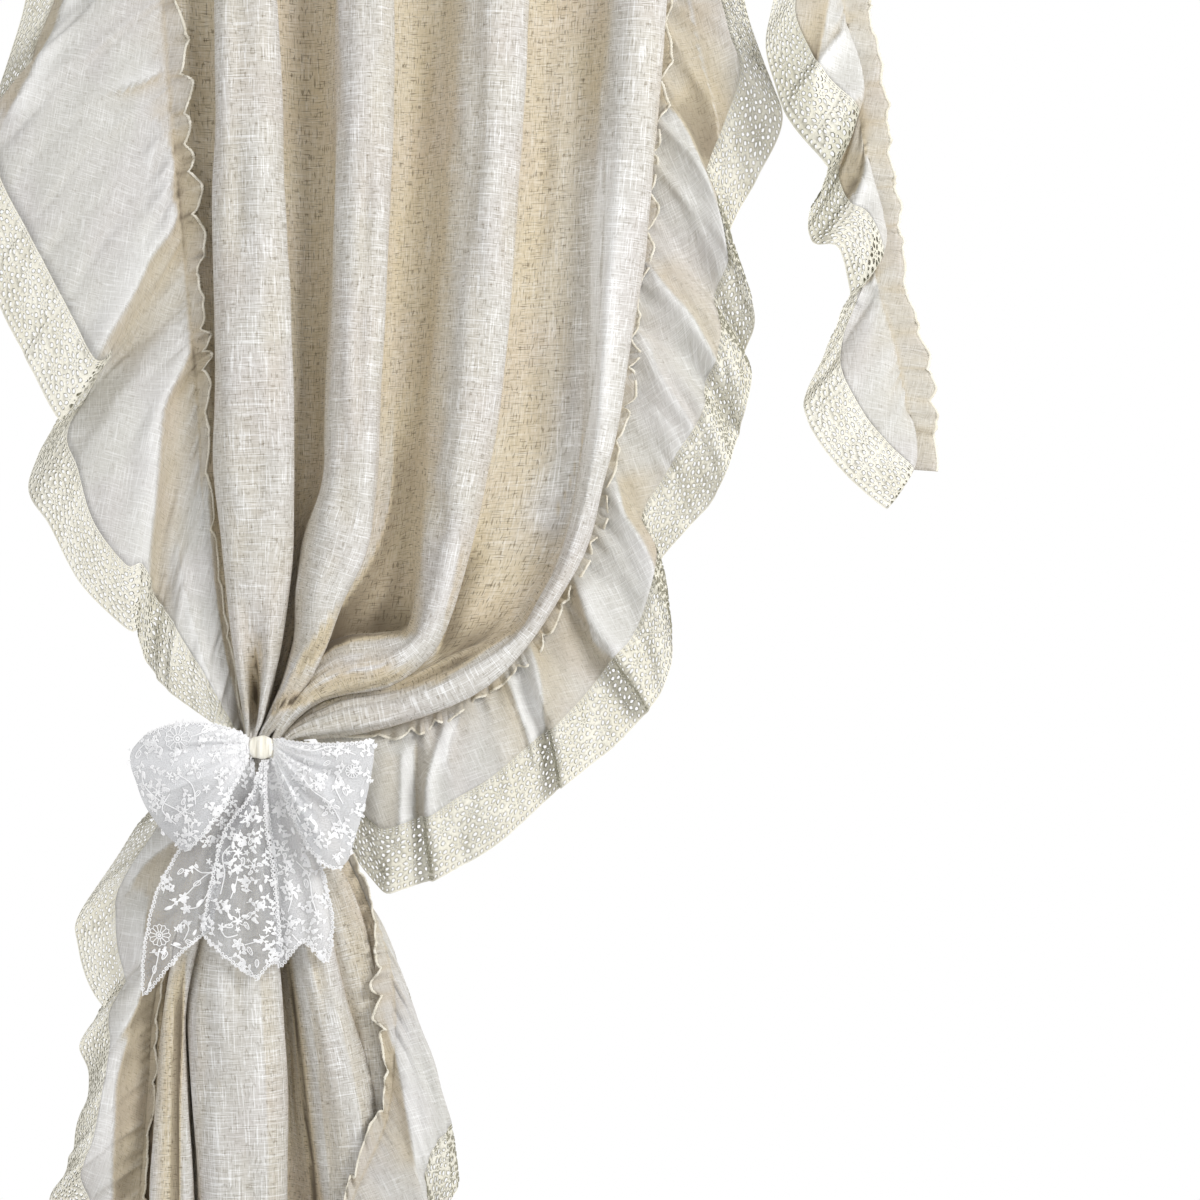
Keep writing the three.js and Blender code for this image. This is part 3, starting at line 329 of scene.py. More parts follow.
@dataclass(frozen=True)
class Rumple:
    """Uneven hang of a cloth: soft waves of about one length each way.

    Lengths and height are in metres.
    """

    across: float
    along: float
    height: float
    seed: int
    count: int = 9

    def at(self, u: Array, v: Array) -> Array:
        """Height of the waves.

        Args:
            u: place across the cloth.
            v: place along the cloth.

        Returns:
            The height at each place.
        """
        chance = np.random.default_rng(self.seed)
        total = np.zeros(np.broadcast(u, v).shape)
        for _ in range(self.count):
            pitch, slant, phase = chance.uniform((0.5, -1, 0), (1.5, 1, math.tau))
            total += np.sin(math.tau * (pitch * u / self.across + slant * v / self.along) + phase)
        return self.height * total / math.sqrt(self.count)


@dataclass
class Cloth:
    """A mesh of cloth before it becomes a Blender object.

    Points are in metres. uv is the place on the flat cloth in metres. The last field is the shade
    painted on each point: -1 for a painted highlight on a crest, 0 for plain lit cloth, 1 for painted
    tan shade in a valley, 2 for painted deep shade in a slit; on the bow's nets it is instead how
    closely the net is gathered.
    """

    points: Array
    faces: Array
    uv: Array
    painted_shade_and_gather: Array

    @classmethod
    def of_grid(cls, points: Array, uv: Array, painted_shade_and_gather: Array | float = 0.0) -> "Cloth":
        """Sheet on a grid of points, whose rows run down and whose columns run right.

        Args:
            points: the grid, as (row, column, 3).
            uv: each point's place on the flat cloth.
            painted_shade_and_gather: each point's shade.

        Returns:
            The sheet.
        """
        rows, columns = points.shape[:2]
        index = np.arange(rows * columns).reshape(rows, columns)
        faces = np.stack([index[:-1, :-1], index[1:, :-1], index[1:, 1:], index[:-1, 1:]], axis=-1)
        shade = np.broadcast_to(painted_shade_and_gather, (rows, columns))
        return cls(points.reshape(-1, 3), faces.reshape(-1, 4), uv.reshape(-1, 2), shade.reshape(-1))

    def object(self, name: str, material: bpy.types.Material, thickness: float = 0.0) -> bpy.types.Object:
        """Makes the Blender object.

        Args:
            name: the piece's name.
            material: its finish.
            thickness: of the cloth, half to each side; nought leaves a single surface.

        Returns:
            The new object, in the scene.
        """
        corners = self.faces.shape[1]
        mesh = bpy.data.meshes.new(name)
        mesh.vertices.add(len(self.points))
        mesh.vertices.foreach_set("co", self.points.astype(np.float32).ravel())
        mesh.loops.add(self.faces.size)
        mesh.loops.foreach_set("vertex_index", self.faces.astype(np.int32).ravel())
        mesh.polygons.add(len(self.faces))
        mesh.polygons.foreach_set("loop_start", np.arange(0, self.faces.size, corners, dtype=np.int32))
        mesh.update(calc_edges=True)
        layer = mesh.uv_layers.new(name="UVMap")
        layer.data.foreach_set("uv", self.uv[self.faces.ravel()].astype(np.float32).ravel())
        shade = mesh.attributes.new("painted_shade_and_gather", "FLOAT", "POINT")
        shade.data.foreach_set("value", self.painted_shade_and_gather.astype(np.float32))
        mesh.polygons.foreach_set("use_smooth", np.ones(len(self.faces), bool))
        mesh.materials.append(material)
        mesh.validate()
        piece = bpy.data.objects.new(name, mesh)
        bpy.context.scene.collection.objects.link(piece)
        if thickness:
            solid = piece.modifiers.new("thickness", "SOLIDIFY")
            solid.thickness = thickness
            solid.offset = 0
        return piece


def joined(parts: Sequence[Cloth]) -> Cloth:
    """Several cloths of the same kind of face as one.

    Args:
        parts: the cloths.

    Returns:
        The one cloth.
    """
    offsets = np.cumsum([0] + [len(part.points) for part in parts[:-1]])
    return Cloth(
        np.concatenate([part.points for part in parts]),
        np.concatenate([part.faces + offset for part, offset in zip(parts, offsets)]),
        np.concatenate([part.uv for part in parts]),
        np.concatenate([part.painted_shade_and_gather for part in parts]),
    )


def fit(piece: bpy.types.Object, nodes: Sequence[str] = ()) -> bpy.types.Object:
    """Fixes a piece to the curtain.

    Args:
        piece: the piece.
        nodes: the solids that it stands for.

    Returns:
        The piece.
    """
    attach(piece, "root")
    if nodes:
        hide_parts(*nodes)
    count = sum(len(face.vertices) - 2 for face in piece.data.polygons)
    LOG.info("%s: %d triangles before thickness", piece.name, count)
    return piece


@dataclass(frozen=True)
class Cut:
    """The flat cut of a sheet of cloth, in metres: its width and length, and how it is held.

    area is the cloth's own area where the cut isn't a full rectangle or is openwork.
    """

    width: float
    length: float
    held: Held
    area: float | None = None

    def declare(self, piece: bpy.types.Object, on: Sequence[bpy.types.Object | str] = (),
                parts: Sequence[bpy.types.Object] = ()) -> None:
        """Takes a piece, what it rests on or hangs from and its sewn parts, and does nothing with them."""


@dataclass(frozen=True)
class Cording:
    """A fine raised line of thread that follows a path on the cloth: an overlocked or corded edge.

    wide and high are half sizes in metres, stitch is the length of one stitch.
    """

    wide: float
    high: float
    stitch: float
    spacing: float = 0.0016
    seed: int = 3

    def along(self, path: Array, normal: Array, side: Array) -> Cloth:
        """Lays the line.

        Args:
            path: points of the line.
            normal: which way the cloth faces at each.
            side: direction across the line, in the cloth.

        Returns:
            The line's surface, closed round but open at its ends.
        """
        length = running_length(path, 0)
        count = max(3, int(length[-1] / self.spacing))
        at = np.linspace(0, length[-1], count)
        path, normal, side = (
            np.stack([np.interp(at, length, values[:, k]) for k in range(3)], axis=1)
            for values in (path, normal, side)
        )
        chance = np.random.default_rng(self.seed)
        beat = 1 + 0.22 * np.sin(math.tau * at / self.stitch) + 0.1 * chance.standard_normal(count)
        turns = np.linspace(0, math.tau, 7)
        points = (
            path[:, None]
            + side[:, None] * (np.cos(turns) * self.wide)[None, :, None] * beat[:, None, None]
            + normal[:, None] * (np.sin(turns) * self.high)[None, :, None] * beat[:, None, None]
        )
        uv = np.stack(np.broadcast_arrays(turns[None] * self.wide, at[:, None]), axis=-1)
        return Cloth.of_grid(points, uv)


Colour = tuple[float, float, float]
# The Mix node's sockets for colours, as its names are shared with those for numbers.
COLOUR_A, COLOUR_B, COLOUR_OUT = 6, 7, 2


@dataclass(frozen=True)
class Sock:
    """A socket's value, or a plain number, in the arithmetic of one material."""

    nodes: "Nodes"
    value: bpy.types.NodeSocket | float

    def _with(self, operation: str, *values: "Sock | float") -> "Sock":
        """One Math node on these values."""
        inputs = {k: v.value if isinstance(v, Sock) else v for k, v in enumerate(values)}
        return self.nodes.add("ShaderNodeMath", {"operation": operation}, inputs)

    def __add__(self, other: "Sock | float") -> "Sock":
        """Sum."""
        return self._with("ADD", self, other)

    def __rsub__(self, other: "Sock | float") -> "Sock":
        """Difference from a number."""
        return self._with("SUBTRACT", other, self)

    def __mul__(self, other: "Sock | float") -> "Sock":
        """Product."""
        return self._with("MULTIPLY", self, other)

    __radd__ = __add__
    __rmul__ = __mul__

    def rise(self, low: float, high: float) -> "Sock":
        """Nought below low, one above high, and smooth between.

        Args:
            low: the value at which it starts.
            high: the value at which it ends.

        Returns:
            The eased value.
        """
        settings = {"interpolation_type": "SMOOTHSTEP"}
        sockets = {"Value": self.value, "From Min": low, "From Max": high}
        return self.nodes.add("ShaderNodeMapRange", settings, sockets)


class Nodes:
    """The nodes of one material."""

    def __init__(self, name: str) -> None:
        """Starts a material of that name with its shader.

        Args:
            name: the material's name.
        """
        self.material = bpy.data.materials.new(name)
        self.material.use_nodes = True
        self.tree = self.material.node_tree
        self.shader = self.tree.nodes["Principled BSDF"]

    def add(self, kind: str, settings: dict | None = None, sockets: dict | None = None,
            out: str | int = 0) -> Sock:
        """Adds one node.

        Args:
            kind: the node's type.
            settings: its own properties, set first.
            sockets: a value or a link for each input, by name or number.
            out: the output that is used, by name or number.

        Returns:
            That output.
        """
        node = self.tree.nodes.new(kind)
        for key, value in (settings or {}).items():
            setattr(node, key, value)
        for key, value in (sockets or {}).items():
            self.put(node.inputs[key], value)
        return Sock(self, node.outputs[out])

    def put(self, socket: bpy.types.NodeSocket, value: object) -> None:
        """Gives an input its value, or links it.

        Args:
            socket: the input.
            value: a value, or another node's output.
        """
        if isinstance(value, Sock):
            value = value.value
        if isinstance(value, bpy.types.NodeSocket):
            self.tree.links.new(value, socket)
            return
        if isinstance(value, tuple) and socket.type == "RGBA" and len(value) == 3:
            value = (*value, 1.0)
        socket.default_value = value

    def blend(self, share: Sock | float, a: Sock | Colour, b: Sock | Colour, how: str = "MIX") -> Sock:
        """Mix of two colours."""
        settings = {"data_type": "RGBA", "blend_type": how}
        return self.add("ShaderNodeMix", settings, {0: share, COLOUR_A: a, COLOUR_B: b}, out=COLOUR_OUT)

    def flat_place(self, across: float, along: float, turn: float = 0.0) -> Sock:
        """Place on the flat cloth, scaled each way, for a texture.

        Args:
            across: scale across the cloth.
            along: scale along it.
            turn: in radians.

        Returns:
            The place.
        """
        place = self.add("ShaderNodeUVMap", {"uv_map": "UVMap"})
        sockets = {"Vector": place, "Scale": (across, along, 1.0), "Rotation": (0.0, 0.0, turn)}
        return self.add("ShaderNodeMapping", {}, sockets)

    def mottle(self, across: float, along: float, detail: float = 1.0, turn: float = 0.0) -> Sock:
        """Random shade whose blots are 1/across wide and 1/along long, in metres."""
        sockets = {"Vector": self.flat_place(across, along, turn), "Scale": 1.0, "Detail": detail}
        return self.add("ShaderNodeTexNoise", {"noise_dimensions": "2D"}, sockets, out="Fac")

    def painted_shade_and_gather(self) -> Sock:
        """Painted shade of the cloth, below nought for a painted highlight; on the bow's nets, how closely
        the net is gathered.
        """
        return self.add("ShaderNodeAttribute", {"attribute_name": "painted_shade_and_gather"}, out="Fac")

    def both_sides(self, painted_shade_and_gather: Sock) -> Sock:
        """Painted shade for the side that is seen, turned round at the back, as the valleys of the front are
        the crests of the back.

        Args:
            painted_shade_and_gather: the shade at the front.

        Returns:
            The painted shade on the side that is seen.
        """
        normal = self.add("ShaderNodeNewGeometry", out="Normal")
        back = self.add("ShaderNodeSeparateXYZ", {}, {"Vector": normal}, out="Y").rise(0.1, 0.5)
        return painted_shade_and_gather + back * (0.45 - 1.2 * painted_shade_and_gather)

    def bump(self, height: Sock, distance: float, strength: float = 1.0) -> None:
        """Raises the surface by a height."""
        sockets = {"Height": height, "Distance": distance, "Strength": strength}
        self.put(self.shader.inputs["Normal"], self.add("ShaderNodeBump", {}, sockets))

    def dress(self, **sockets: object) -> None:
        """Sets the shader's own sockets, by names with _ for a space."""
        for key, value in sockets.items():
            self.put(self.shader.inputs[key.replace("_", " ")], value)


@dataclass(frozen=True)
class SlubLinen:
    """Coarse linen: uneven threads both ways, pale slubs, dark flecks, with painted tan shade in its folds,
    painted deep shade in slits and painted highlights on crests.
    """

    name: str
    lit: Colour = (0.57, 0.555, 0.525)
    # Painted shade colours: tan for valleys, then dark brown for deep slits; pale also paints the highlight
    # on crests.
    painted_shade_colour: Colour = (0.595, 0.515, 0.37)
    deep: Colour = (0.13, 0.10, 0.065)
    pale: Colour = (0.92, 0.92, 0.915)
    dark: Colour = (0.20, 0.165, 0.11)
    contrast: float = 1.0

    @cache
    def material(self) -> bpy.types.Material:
        """Makes the material, once.

        Returns:
            The material.
        """
        n = Nodes(self.name)
        painted_shade_and_gather = n.both_sides(n.painted_shade_and_gather())
        warp = n.mottle(950, 90, 2.0)
        weft = n.mottle(90, 950, 2.0)
        cloud = n.mottle(14, 9, 1.0, 0.5)
        tint = n.blend(cloud.rise(0.4, 0.7), (1.0, 0.99, 0.965), (0.99, 0.965, 0.965))
        # Painted tan shade in the folds.
        body = n.blend(painted_shade_and_gather, self.lit, self.painted_shade_colour)
        body = n.blend(1.0, body, tint, "MULTIPLY")
        # Painted highlight on the crests.
        body = n.blend((0.0 - painted_shade_and_gather).rise(0.0, 1.0) * 0.5, body, self.pale)
        # The weave's pale and dark marks change strength with the painted shade.
        strong = self.contrast
        threads = warp.rise(0.52, 0.72) + weft.rise(0.52, 0.72)
        body = n.blend(threads * (0.26 - 0.12 * painted_shade_and_gather) * strong, body, self.pale)
        gaps = (1 - warp).rise(0.56, 0.74) + (1 - weft).rise(0.56, 0.74)
        body = n.blend(gaps * (0.1 + 0.14 * painted_shade_and_gather) * strong, body, self.dark)
        slubs = n.mottle(900, 26, 0.0).rise(0.66, 0.74) + n.mottle(26, 900, 0.0).rise(0.66, 0.74)
        body = n.blend(slubs * (0.48 - 0.38 * painted_shade_and_gather) * strong, body, self.pale)
        dashes = n.mottle(900, 120, 0.0).rise(0.7, 0.78) + n.mottle(120, 900, 0.0).rise(0.7, 0.78)
        body = n.blend(dashes * (0.4 + 0.25 * painted_shade_and_gather) * strong, body, self.dark)
        # Painted deep shade in the slits.
        body = n.blend(painted_shade_and_gather.rise(1.0, 2.0), body, self.deep)
        n.dress(Base_Color=body, Roughness=0.92, Specular_IOR_Level=0.15)
        n.dress(Sheen_Weight=0.15, Sheen_Roughness=0.6)
        n.bump(warp + weft, 0.0007, 0.5)
        return n.material


@dataclass(frozen=True)
class Thread:
    """Fine thread work: lace, net, embroidery, overlocked edges and plain bands.

    net is the share of the surface that the threads cover; below one the rest lets light through.
    The third colour is painted shade on lace and on the knot's band, and the white of the bow's net
    where it is gathered.
    """

    name: str
    light: Colour
    shade: Colour
    painted_shade_and_gather_colour: Colour = (0.45, 0.42, 0.29)
    grain: float = 900.0
    net: float = 1.0
    rough: float = 0.8
    rise: float = 0.0004

    @cache
    def material(self) -> bpy.types.Material:
        """Makes the material, once.

        Returns:
            The material.
        """
        n = Nodes(self.name)
        fine = n.mottle(self.grain, self.grain, 1.0)
        patch = n.mottle(30, 30, 1.0)
        tone = fine.rise(0.35, 0.7) * 0.5 + patch.rise(0.3, 0.7) * 0.5
        tone = n.blend(tone, self.shade, self.light)
        # Painted shade on lace and band; on the net, the white of its gathered parts.
        body = n.blend(n.painted_shade_and_gather() * (1.0 if self.net < 1 else 0.7), tone, self.painted_shade_and_gather_colour)
        n.dress(Base_Color=body, Roughness=self.rough)
        n.dress(Specular_IOR_Level=0.2, Sheen_Weight=0.1)
        if self.net < 1:
            weave = n.mottle(self.grain * 0.8, self.grain * 0.8, 0.0)
            n.dress(Alpha=weave.rise(0.2, 0.8) * (0.5 * self.net) + 0.75 * self.net + n.painted_shade_and_gather() * 0.45)
        n.bump(fine, self.rise, 0.6)
        return n.material


LINEN = SlubLinen("slub_linen")
THIN_LINEN = SlubLinen("thin_linen", lit=(0.56, 0.556, 0.535), painted_shade_colour=(0.52, 0.455, 0.34), contrast=0.5)
# The third colours of LACE and BAND_CLOTH are painted shade; that of NET is the white of gathered net.
LACE = Thread("cream_lace", (0.84, 0.82, 0.735), (0.70, 0.67, 0.56), (0.3, 0.29, 0.2), grain=700)
OVERLOCK = Thread("cream_overlock", (0.86, 0.83, 0.74), (0.70, 0.65, 0.53), grain=1200)
NET = Thread("white_net", (0.66, 0.67, 0.69), (0.52, 0.53, 0.55), (0.9, 0.9, 0.91), net=0.4)
FLOSS = Thread("white_floss", (0.97, 0.97, 0.975), (0.9, 0.9, 0.91), grain=1300, rough=0.6)
BAND_CLOTH = Thread("cream_band", (0.95, 0.93, 0.85), (0.9, 0.87, 0.77), (0.74, 0.7, 0.58), grain=500)


@dataclass(frozen=True)
class Ridge:
    """Fold laid along a path of x and drop: soft on one side and steep on its shaded side.

    The shaded side is on the left of one who walks along the path and gets painted shade; the soft
    side gets a painted highlight. Sizes are in millimetres.
    """

    path: Rows
    soft: float
    steep: float
    high: float
    shade: float = 0.8
    reach: float = 26.0
    light: float = 0.8

    def at(self, x: Array, drop: Array) -> tuple[Array, Array]:
        """How the fold changes the cloth.

        Args:
            x: where, in table places.
            drop: where, in table places.

        Returns:
            How far the cloth comes forward, and its painted shade, below nought for a painted highlight.
        """
        line = smooth(self.path, np.linspace(0, len(self.path) - 1, 5 * len(self.path)))
        near = np.full(x.shape, 1e6)
        side, where = np.zeros(x.shape), np.zeros(x.shape)
        for index, ((x0, drop0), (x1, drop1)) in enumerate(zip(line[:-1], line[1:])):
            run, fall = x1 - x0, drop1 - drop0
            length = math.hypot(run, fall)
            share = clamp(((x - x0) * run + (drop - drop0) * fall) / length**2)
            away = np.hypot(x - x0 - share * run, drop - drop0 - share * fall)
            turn = (x - x0) * fall - (drop - drop0) * run
            side = np.where(away < near, np.sign(turn), side)
            where = np.where(away < near, (index + share) / (len(line) - 1), where)
            near = np.minimum(near, away)
        behind = side > 0
        taper = 0.25 + 0.75 * soft_step(np.minimum(where, 1 - where), 0, 0.14)
        rise = self.high * taper * np.exp(-((near / np.where(behind, self.steep, self.soft)) ** 2))
        # Painted shade on the shaded side, and a painted highlight on the soft side.
        dark = self.shade * taper * np.exp(-((near / self.reach) ** 2)) * soft_step(near, 0, 3)
        light = -self.light * taper * np.exp(-((near / (1.6 * self.soft)) ** 2))
        return rise, np.where(behind, dark, light)


def laid(ridges: Sequence[Ridge], points: Array) -> tuple[Array, Array]:
    """Lays folds on a cloth.

    Args:
        ridges: the folds.
        points: the cloth's points.

    Returns:
        The changed points, and the painted shade on each, below nought for a painted highlight.
    """
    x, drop = points[..., 0] / MM - DATUM_X, -points[..., 2] / MM - DATUM_DROP
    points, shade = points.copy(), np.zeros(x.shape)
    for ridge in ridges:
        rise, dark = ridge.at(x, drop)
        points[..., 1] -= rise * MM
        shade += dark
    return points, shade


# Folds of each ruffle: each raises the cloth and gives it painted shade on its shaded side and a painted
# highlight on the other; a height of nought raises nothing and only paints.
LEFT_RIDGES = (
    Ridge(((161, 73), (150, 78), (138, 85), (118, 90)), 10, 2.5, 5, 0.9, 8),
    Ridge(((176, 128), (164, 134), (157, 150), (152, 176)), 8, 2, 3, 0.5, 5, 0.3),
    Ridge(((10, 122), (25, 95), (45, 50), (62, 0), (72, -60)), 14, 4, 7, 1.0, 60),
    Ridge((
        (163, 133), (171, 150), (175, 166), (171, 190), (177, 212), (172, 231), (153, 258),
        (143, 281), (128, 311), (110, 342), (95, 368),
    ), 17, 4, 11, 1.0, 30),
    Ridge((
        (189, 329), (190, 348), (185, 364), (172, 390), (164, 412), (161, 443), (158, 481),
        (155, 513), (150, 551), (147, 600), (146, 636),
    ), 16, 4, 10, 1.0, 28),
    Ridge(((207, 480), (212, 560), (222, 640), (237, 705)), 12, 4, 5, 0.5, 12),
    Ridge(((176, 540), (188, 600), (208, 670), (226, 710)), 9, 6, 3, -0.2, 12),
    Ridge(((178, 838), (160, 850), (140, 868), (128, 890)), 9, 8, 4, 0.7, 26),
    Ridge(((146, 905), (143, 950), (138, 1000), (118, 1040)), 14, 5, 7, 1.3, 26),
    Ridge(((130, 1030), (118, 1080), (116, 1120), (110, 1200), (104, 1290)), 18, 6, 8, 1.3, 36),
    Ridge(((70, 1320), (78, 1400), (80, 1490)), 16, 6, 7, 0.8, 30),
    Ridge(((90, -470), (82, -380), (60, -290), (40, -200)), 18, 5, 8, 0.9, 34),
    Ridge(((150, -180), (110, -140), (70, -100)), 16, 5, 7, 0.8, 30),
)
RIGHT_RIDGES = (
    Ridge(((688, -10), (700, 50), (716, 110), (724, 165)), 30, 30, 0, 0.95, 30, -0.95),
    Ridge((
        (663, 102), (680, 118), (697, 150), (708, 180), (720, 215), (731, 247), (735, 272),
    ), 13, 4, 9, 1.0, 44),
    Ridge((
        (648, 264), (660, 280), (673, 296), (690, 315), (707, 345), (718, 366), (722, 385),
    ), 10, 4, 7, 0.8, 34),
    Ridge((
        (634, 325), (647, 343), (656, 366), (667, 387), (680, 406), (692, 426), (699, 446),
    ), 9, 4, 6, 0.15, 18),
    Ridge(((650, 400), (672, 425), (690, 458)), 12, 10, 3, 0.0, 12),
    Ridge((
        (612, 472), (618, 490), (624, 514), (640, 539), (651, 562), (658, 586), (661, 606),
    ), 16, 4, 10, 1.0, 42),
    Ridge(((630, 672), (610, 655), (596, 640), (590, 625), (582, 600), (573, 577)), 15, 4, 8, 0.8, 34),
    Ridge(((527, 642), (536, 664), (541, 690), (543, 720), (544, 752)), 12, 3.5, 8, 0.7, 34),
    Ridge(((538, 768), (530, 740), (517, 702), (505, 674)), 12, 3.5, 7, 0.8, 26),
    Ridge(((460, 716), (450, 740), (446, 765)), 7, 4, 4, 0.3, 14),
    Ridge(((432, 838), (426, 812), (428, 780), (438, 745), (446, 722)), 8, 4, 6, 0.4, 12),
    Ridge(((413, 742), (413, 790), (414, 850)), 9, 2.5, 4, 1.0, 5),
    Ridge(((399, 850), (401, 800), (402, 750)), 7, 3, 3, 0.6, 22),
    Ridge(((662, -20), (672, -60), (700, -100), (730, -140)), 14, 5, 8, 0.9, 34),
    Ridge(((672, -240), (690, -270), (726, -310), (750, -340)), 14, 5, 8, 0.9, 34),
    Ridge(((680, -420), (705, -440), (735, -460)), 12, 5, 6, 0.8, 30),
    Ridge(((420, 1165), (410, 1110), (400, 1060), (388, 1020)), 14, 5, 5, 0.9, 22),
)
TAIL_RIDGES = (
    Ridge(((822, 250), (834, 226), (850, 200), (862, 180)), 12, 4, 6, 0.8, 24),
    Ridge(((856, 100), (840, 120), (826, 150), (822, 166)), 12, 4, 6, 0.8, 24),
    Ridge(((852, 302), (862, 290), (874, 280)), 10, 4, 5, 0.8, 26),
    Ridge(((786, 120), (800, 90), (822, 60), (846, 30)), 14, 4, 6, 0.7, 24),
    Ridge(((806, 140), (812, 90), (822, 40), (834, -20)), 8, 10, 3, 1.0, 46, 0.5),
    Ridge(((822, 168), (812, 135), (802, 100), (796, 70)), 16, 16, 0, 1.4, 26, -1.4),
    Ridge(((836, 250), (850, 215), (862, 180), (866, 150)), 6, 8, 2, 0.8, 30, 0.3),
)

FOLDS = (FOLD_1, FOLD_2, FOLD_3, FOLD_4)
# Columns: out and high on a plain slope, then out and high on a rolled flank, in half widths.
LEFT_FLANK: Rows = ((1.25, -0.75, 0.84, -0.4), (0.85, 0.05, 1, 0.4), (0.42, 0.6, 0.68, 0.88))
RIGHT_FLANK: Rows = ((0.5, 0.85, 0.66, 0.94), (0.9, 0.3, 1, 0.42), (1.1, 0, 0.84, 0))
# How far the left and the right flank of each fold are rolled.
ROLLS: Rows = ((1, 1), (0.5, 1), (0, 0.8), (0, 1))

# Creases of the panel. Columns: x and drop of both ends, half width, height; a ridge is above nought.
CREASES: Rows = (
    (250, -480, 246, -120, 9, 3), (238, -60, 244, 330, 7, -3), (262, 60, 268, 420, 8, 2.5),
    (372, -470, 366, -150, 9, -3), (356, -40, 350, 330, 8, 3), (377, 60, 362, 470, 7, -3),
    (505, -470, 496, -100, 11, 3), (482, -80, 470, 300, 9, -3), (500, 40, 478, 420, 9, 3),
    (650, -470, 640, -140, 9, -3), (628, -80, 612, 330, 8, 3), (560, 0, 545, 420, 10, 3),
    (424, 0, 410, 430, 9, -2.5), (300, 100, 296, 480, 9, 2.5),
    (232, 470, 262, 535, 8, 4), (262, 500, 240, 580, 7, -4), (246, 590, 252, 690, 5, -4),
    (320, 500, 352, 560, 9, 4), (300, 560, 268, 640, 8, 3.5), (340, 590, 288, 660, 6, -3),
    (430, 480, 446, 545, 9, -3.5), (470, 500, 440, 590, 9, 3.5), (400, 560, 372, 640, 8, -3),
    (395, 575, 330, 640, 6, 3), (505, 540, 460, 625, 9, 3.5), (540, 500, 520, 590, 9, -3.5),
    (585, 500, 560, 570, 8, 3), (520, 600, 450, 655, 6, -3), (480, 640, 380, 690, 5, 2.5),
    (232, 800, 196, 960, 7, 3), (214, 850, 190, 1010, 6, -3), (258, 840, 240, 1010, 7, -3),
    (236, 880, 222, 1180, 8, 3), (270, 900, 262, 1200, 7, -3), (262, 830, 280, 930, 6, 3),
    (300, 860, 330, 1010, 7, -3), (318, 860, 352, 1010, 6, 3), (312, 980, 336, 1180, 8, -3),
    (180, 960, 176, 1260, 8, -3), (160, 1040, 158, 1300, 7, 3), (240, 1040, 246, 1330, 8, 3),
    (292, 1020, 300, 1300, 8, 3), (350, 1080, 356, 1380, 8, -3), (206, 1100, 204, 1420, 8, 3),
    (246, 1240, 250, 1500, 9, -3), (352, 1240, 354, 1480, 9, 3), (176, 1260, 174, 1500, 9, 3),
)

# Folds and slits of the panel, raised or sunk, with painted shade on each one's shaded side and a painted
# highlight on the other: the swags above the tie, then the stripes and slits below it, the stripes with
# painted highlights and the slits with painted deep shade.
PANEL_RIDGES = (
    Ridge(((183, 1330), (183, 1200), (184, 1060), (189, 950)), 6, 3, 2, 1.3, 15, 0.2),
    Ridge(((183, 1330), (183, 1200), (184, 1060), (189, 950)), 3, 3, -3, 1.3, 3, 0.0),
    Ridge(((150, 1330), (153, 1200), (155, 1100), (158, 1010)), 7, 3, 2, 1.7, 20, 0.2),
    Ridge(((283, 950), (297, 1060), (305, 1140), (312, 1220), (316, 1330)), 7, 2.5, 3, 2.4, 7, 0.5),
    Ridge(((410, 664), (375, 666), (340, 674), (308, 690)), 10, 8, 0, 1.5, 26, -1.0),
    Ridge(((606, 120), (600, 300), (589, 410), (570, 480), (539, 545)), 18, 16, 5, -1.6, 22, 1.8),
    Ridge(((171, 1330), (171, 1200), (173, 1080), (176, 980)), 9, 8, 0, 0.9, 14, -0.9),
    Ridge(((262, 640), (256, 680), (252, 714)), 3, 2, -3, 2.2, 4, -1.5),
    Ridge(((293, 640), (285, 672), (274, 700)), 3, 2, -3, 2.2, 5, -1.5),
    Ridge(((272, 712), (286, 703), (304, 698)), 3, 3, -4, 2.4, 5, -2.0),
    Ridge(((292, 1050), (303, 1120), (309, 1190), (312, 1330)), 5, 4, -5, 0.6, 5, -0.6),
    Ridge(((300, 674), (325, 656), (350, 642), (395, 638), (420, 641)), 15, 4, 4, 1.0, 40),
    Ridge(((396, 690), (440, 685), (462, 669), (490, 649), (522, 630)), 15, 4, 5, 0.9, 22),
    Ridge(((292, 708), (330, 701), (365, 690), (400, 682)), 9, 3, 4, 1.0, 6),
    Ridge(((461, 540), (455, 575), (447, 605), (440, 640), (428, 670)), 12, 4, 4, 0.8, 34),
    Ridge(((392, 420), (388, 500), (368, 560), (332, 615), (298, 666), (276, 708)), 12, 4, 4, 0.8, 34),
    Ridge(((226, 950), (223, 1060), (220, 1200), (222, 1320)), 7, 6, 3, -0.4, 9),
    Ridge(((262, 960), (268, 1080), (272, 1200), (276, 1330)), 9, 6, 2, 0.25, 14),
    Ridge(((300, 960), (312, 1010), (322, 1100), (330, 1200)), 9, 6, 3, 0.3, 12),
    Ridge(((336, 1000), (352, 1060), (366, 1140), (374, 1200)), 7, 5, 3, 0.3, 10),
    Ridge(((270, 850), (300, 920), (320, 990)), 8, 5, 3, 0.4, 12),
    Ridge(((200, 960), (197, 1060), (196, 1200), (198, 1330)), 7, 5, 2, 0.3, 10),
    Ridge(((340, 648), (362, 660), (378, 676)), 5, 5, 2, 0.15, 7),
    Ridge(((420, 650), (404, 664), (396, 676)), 5, 5, 2, 0.15, 7),
)


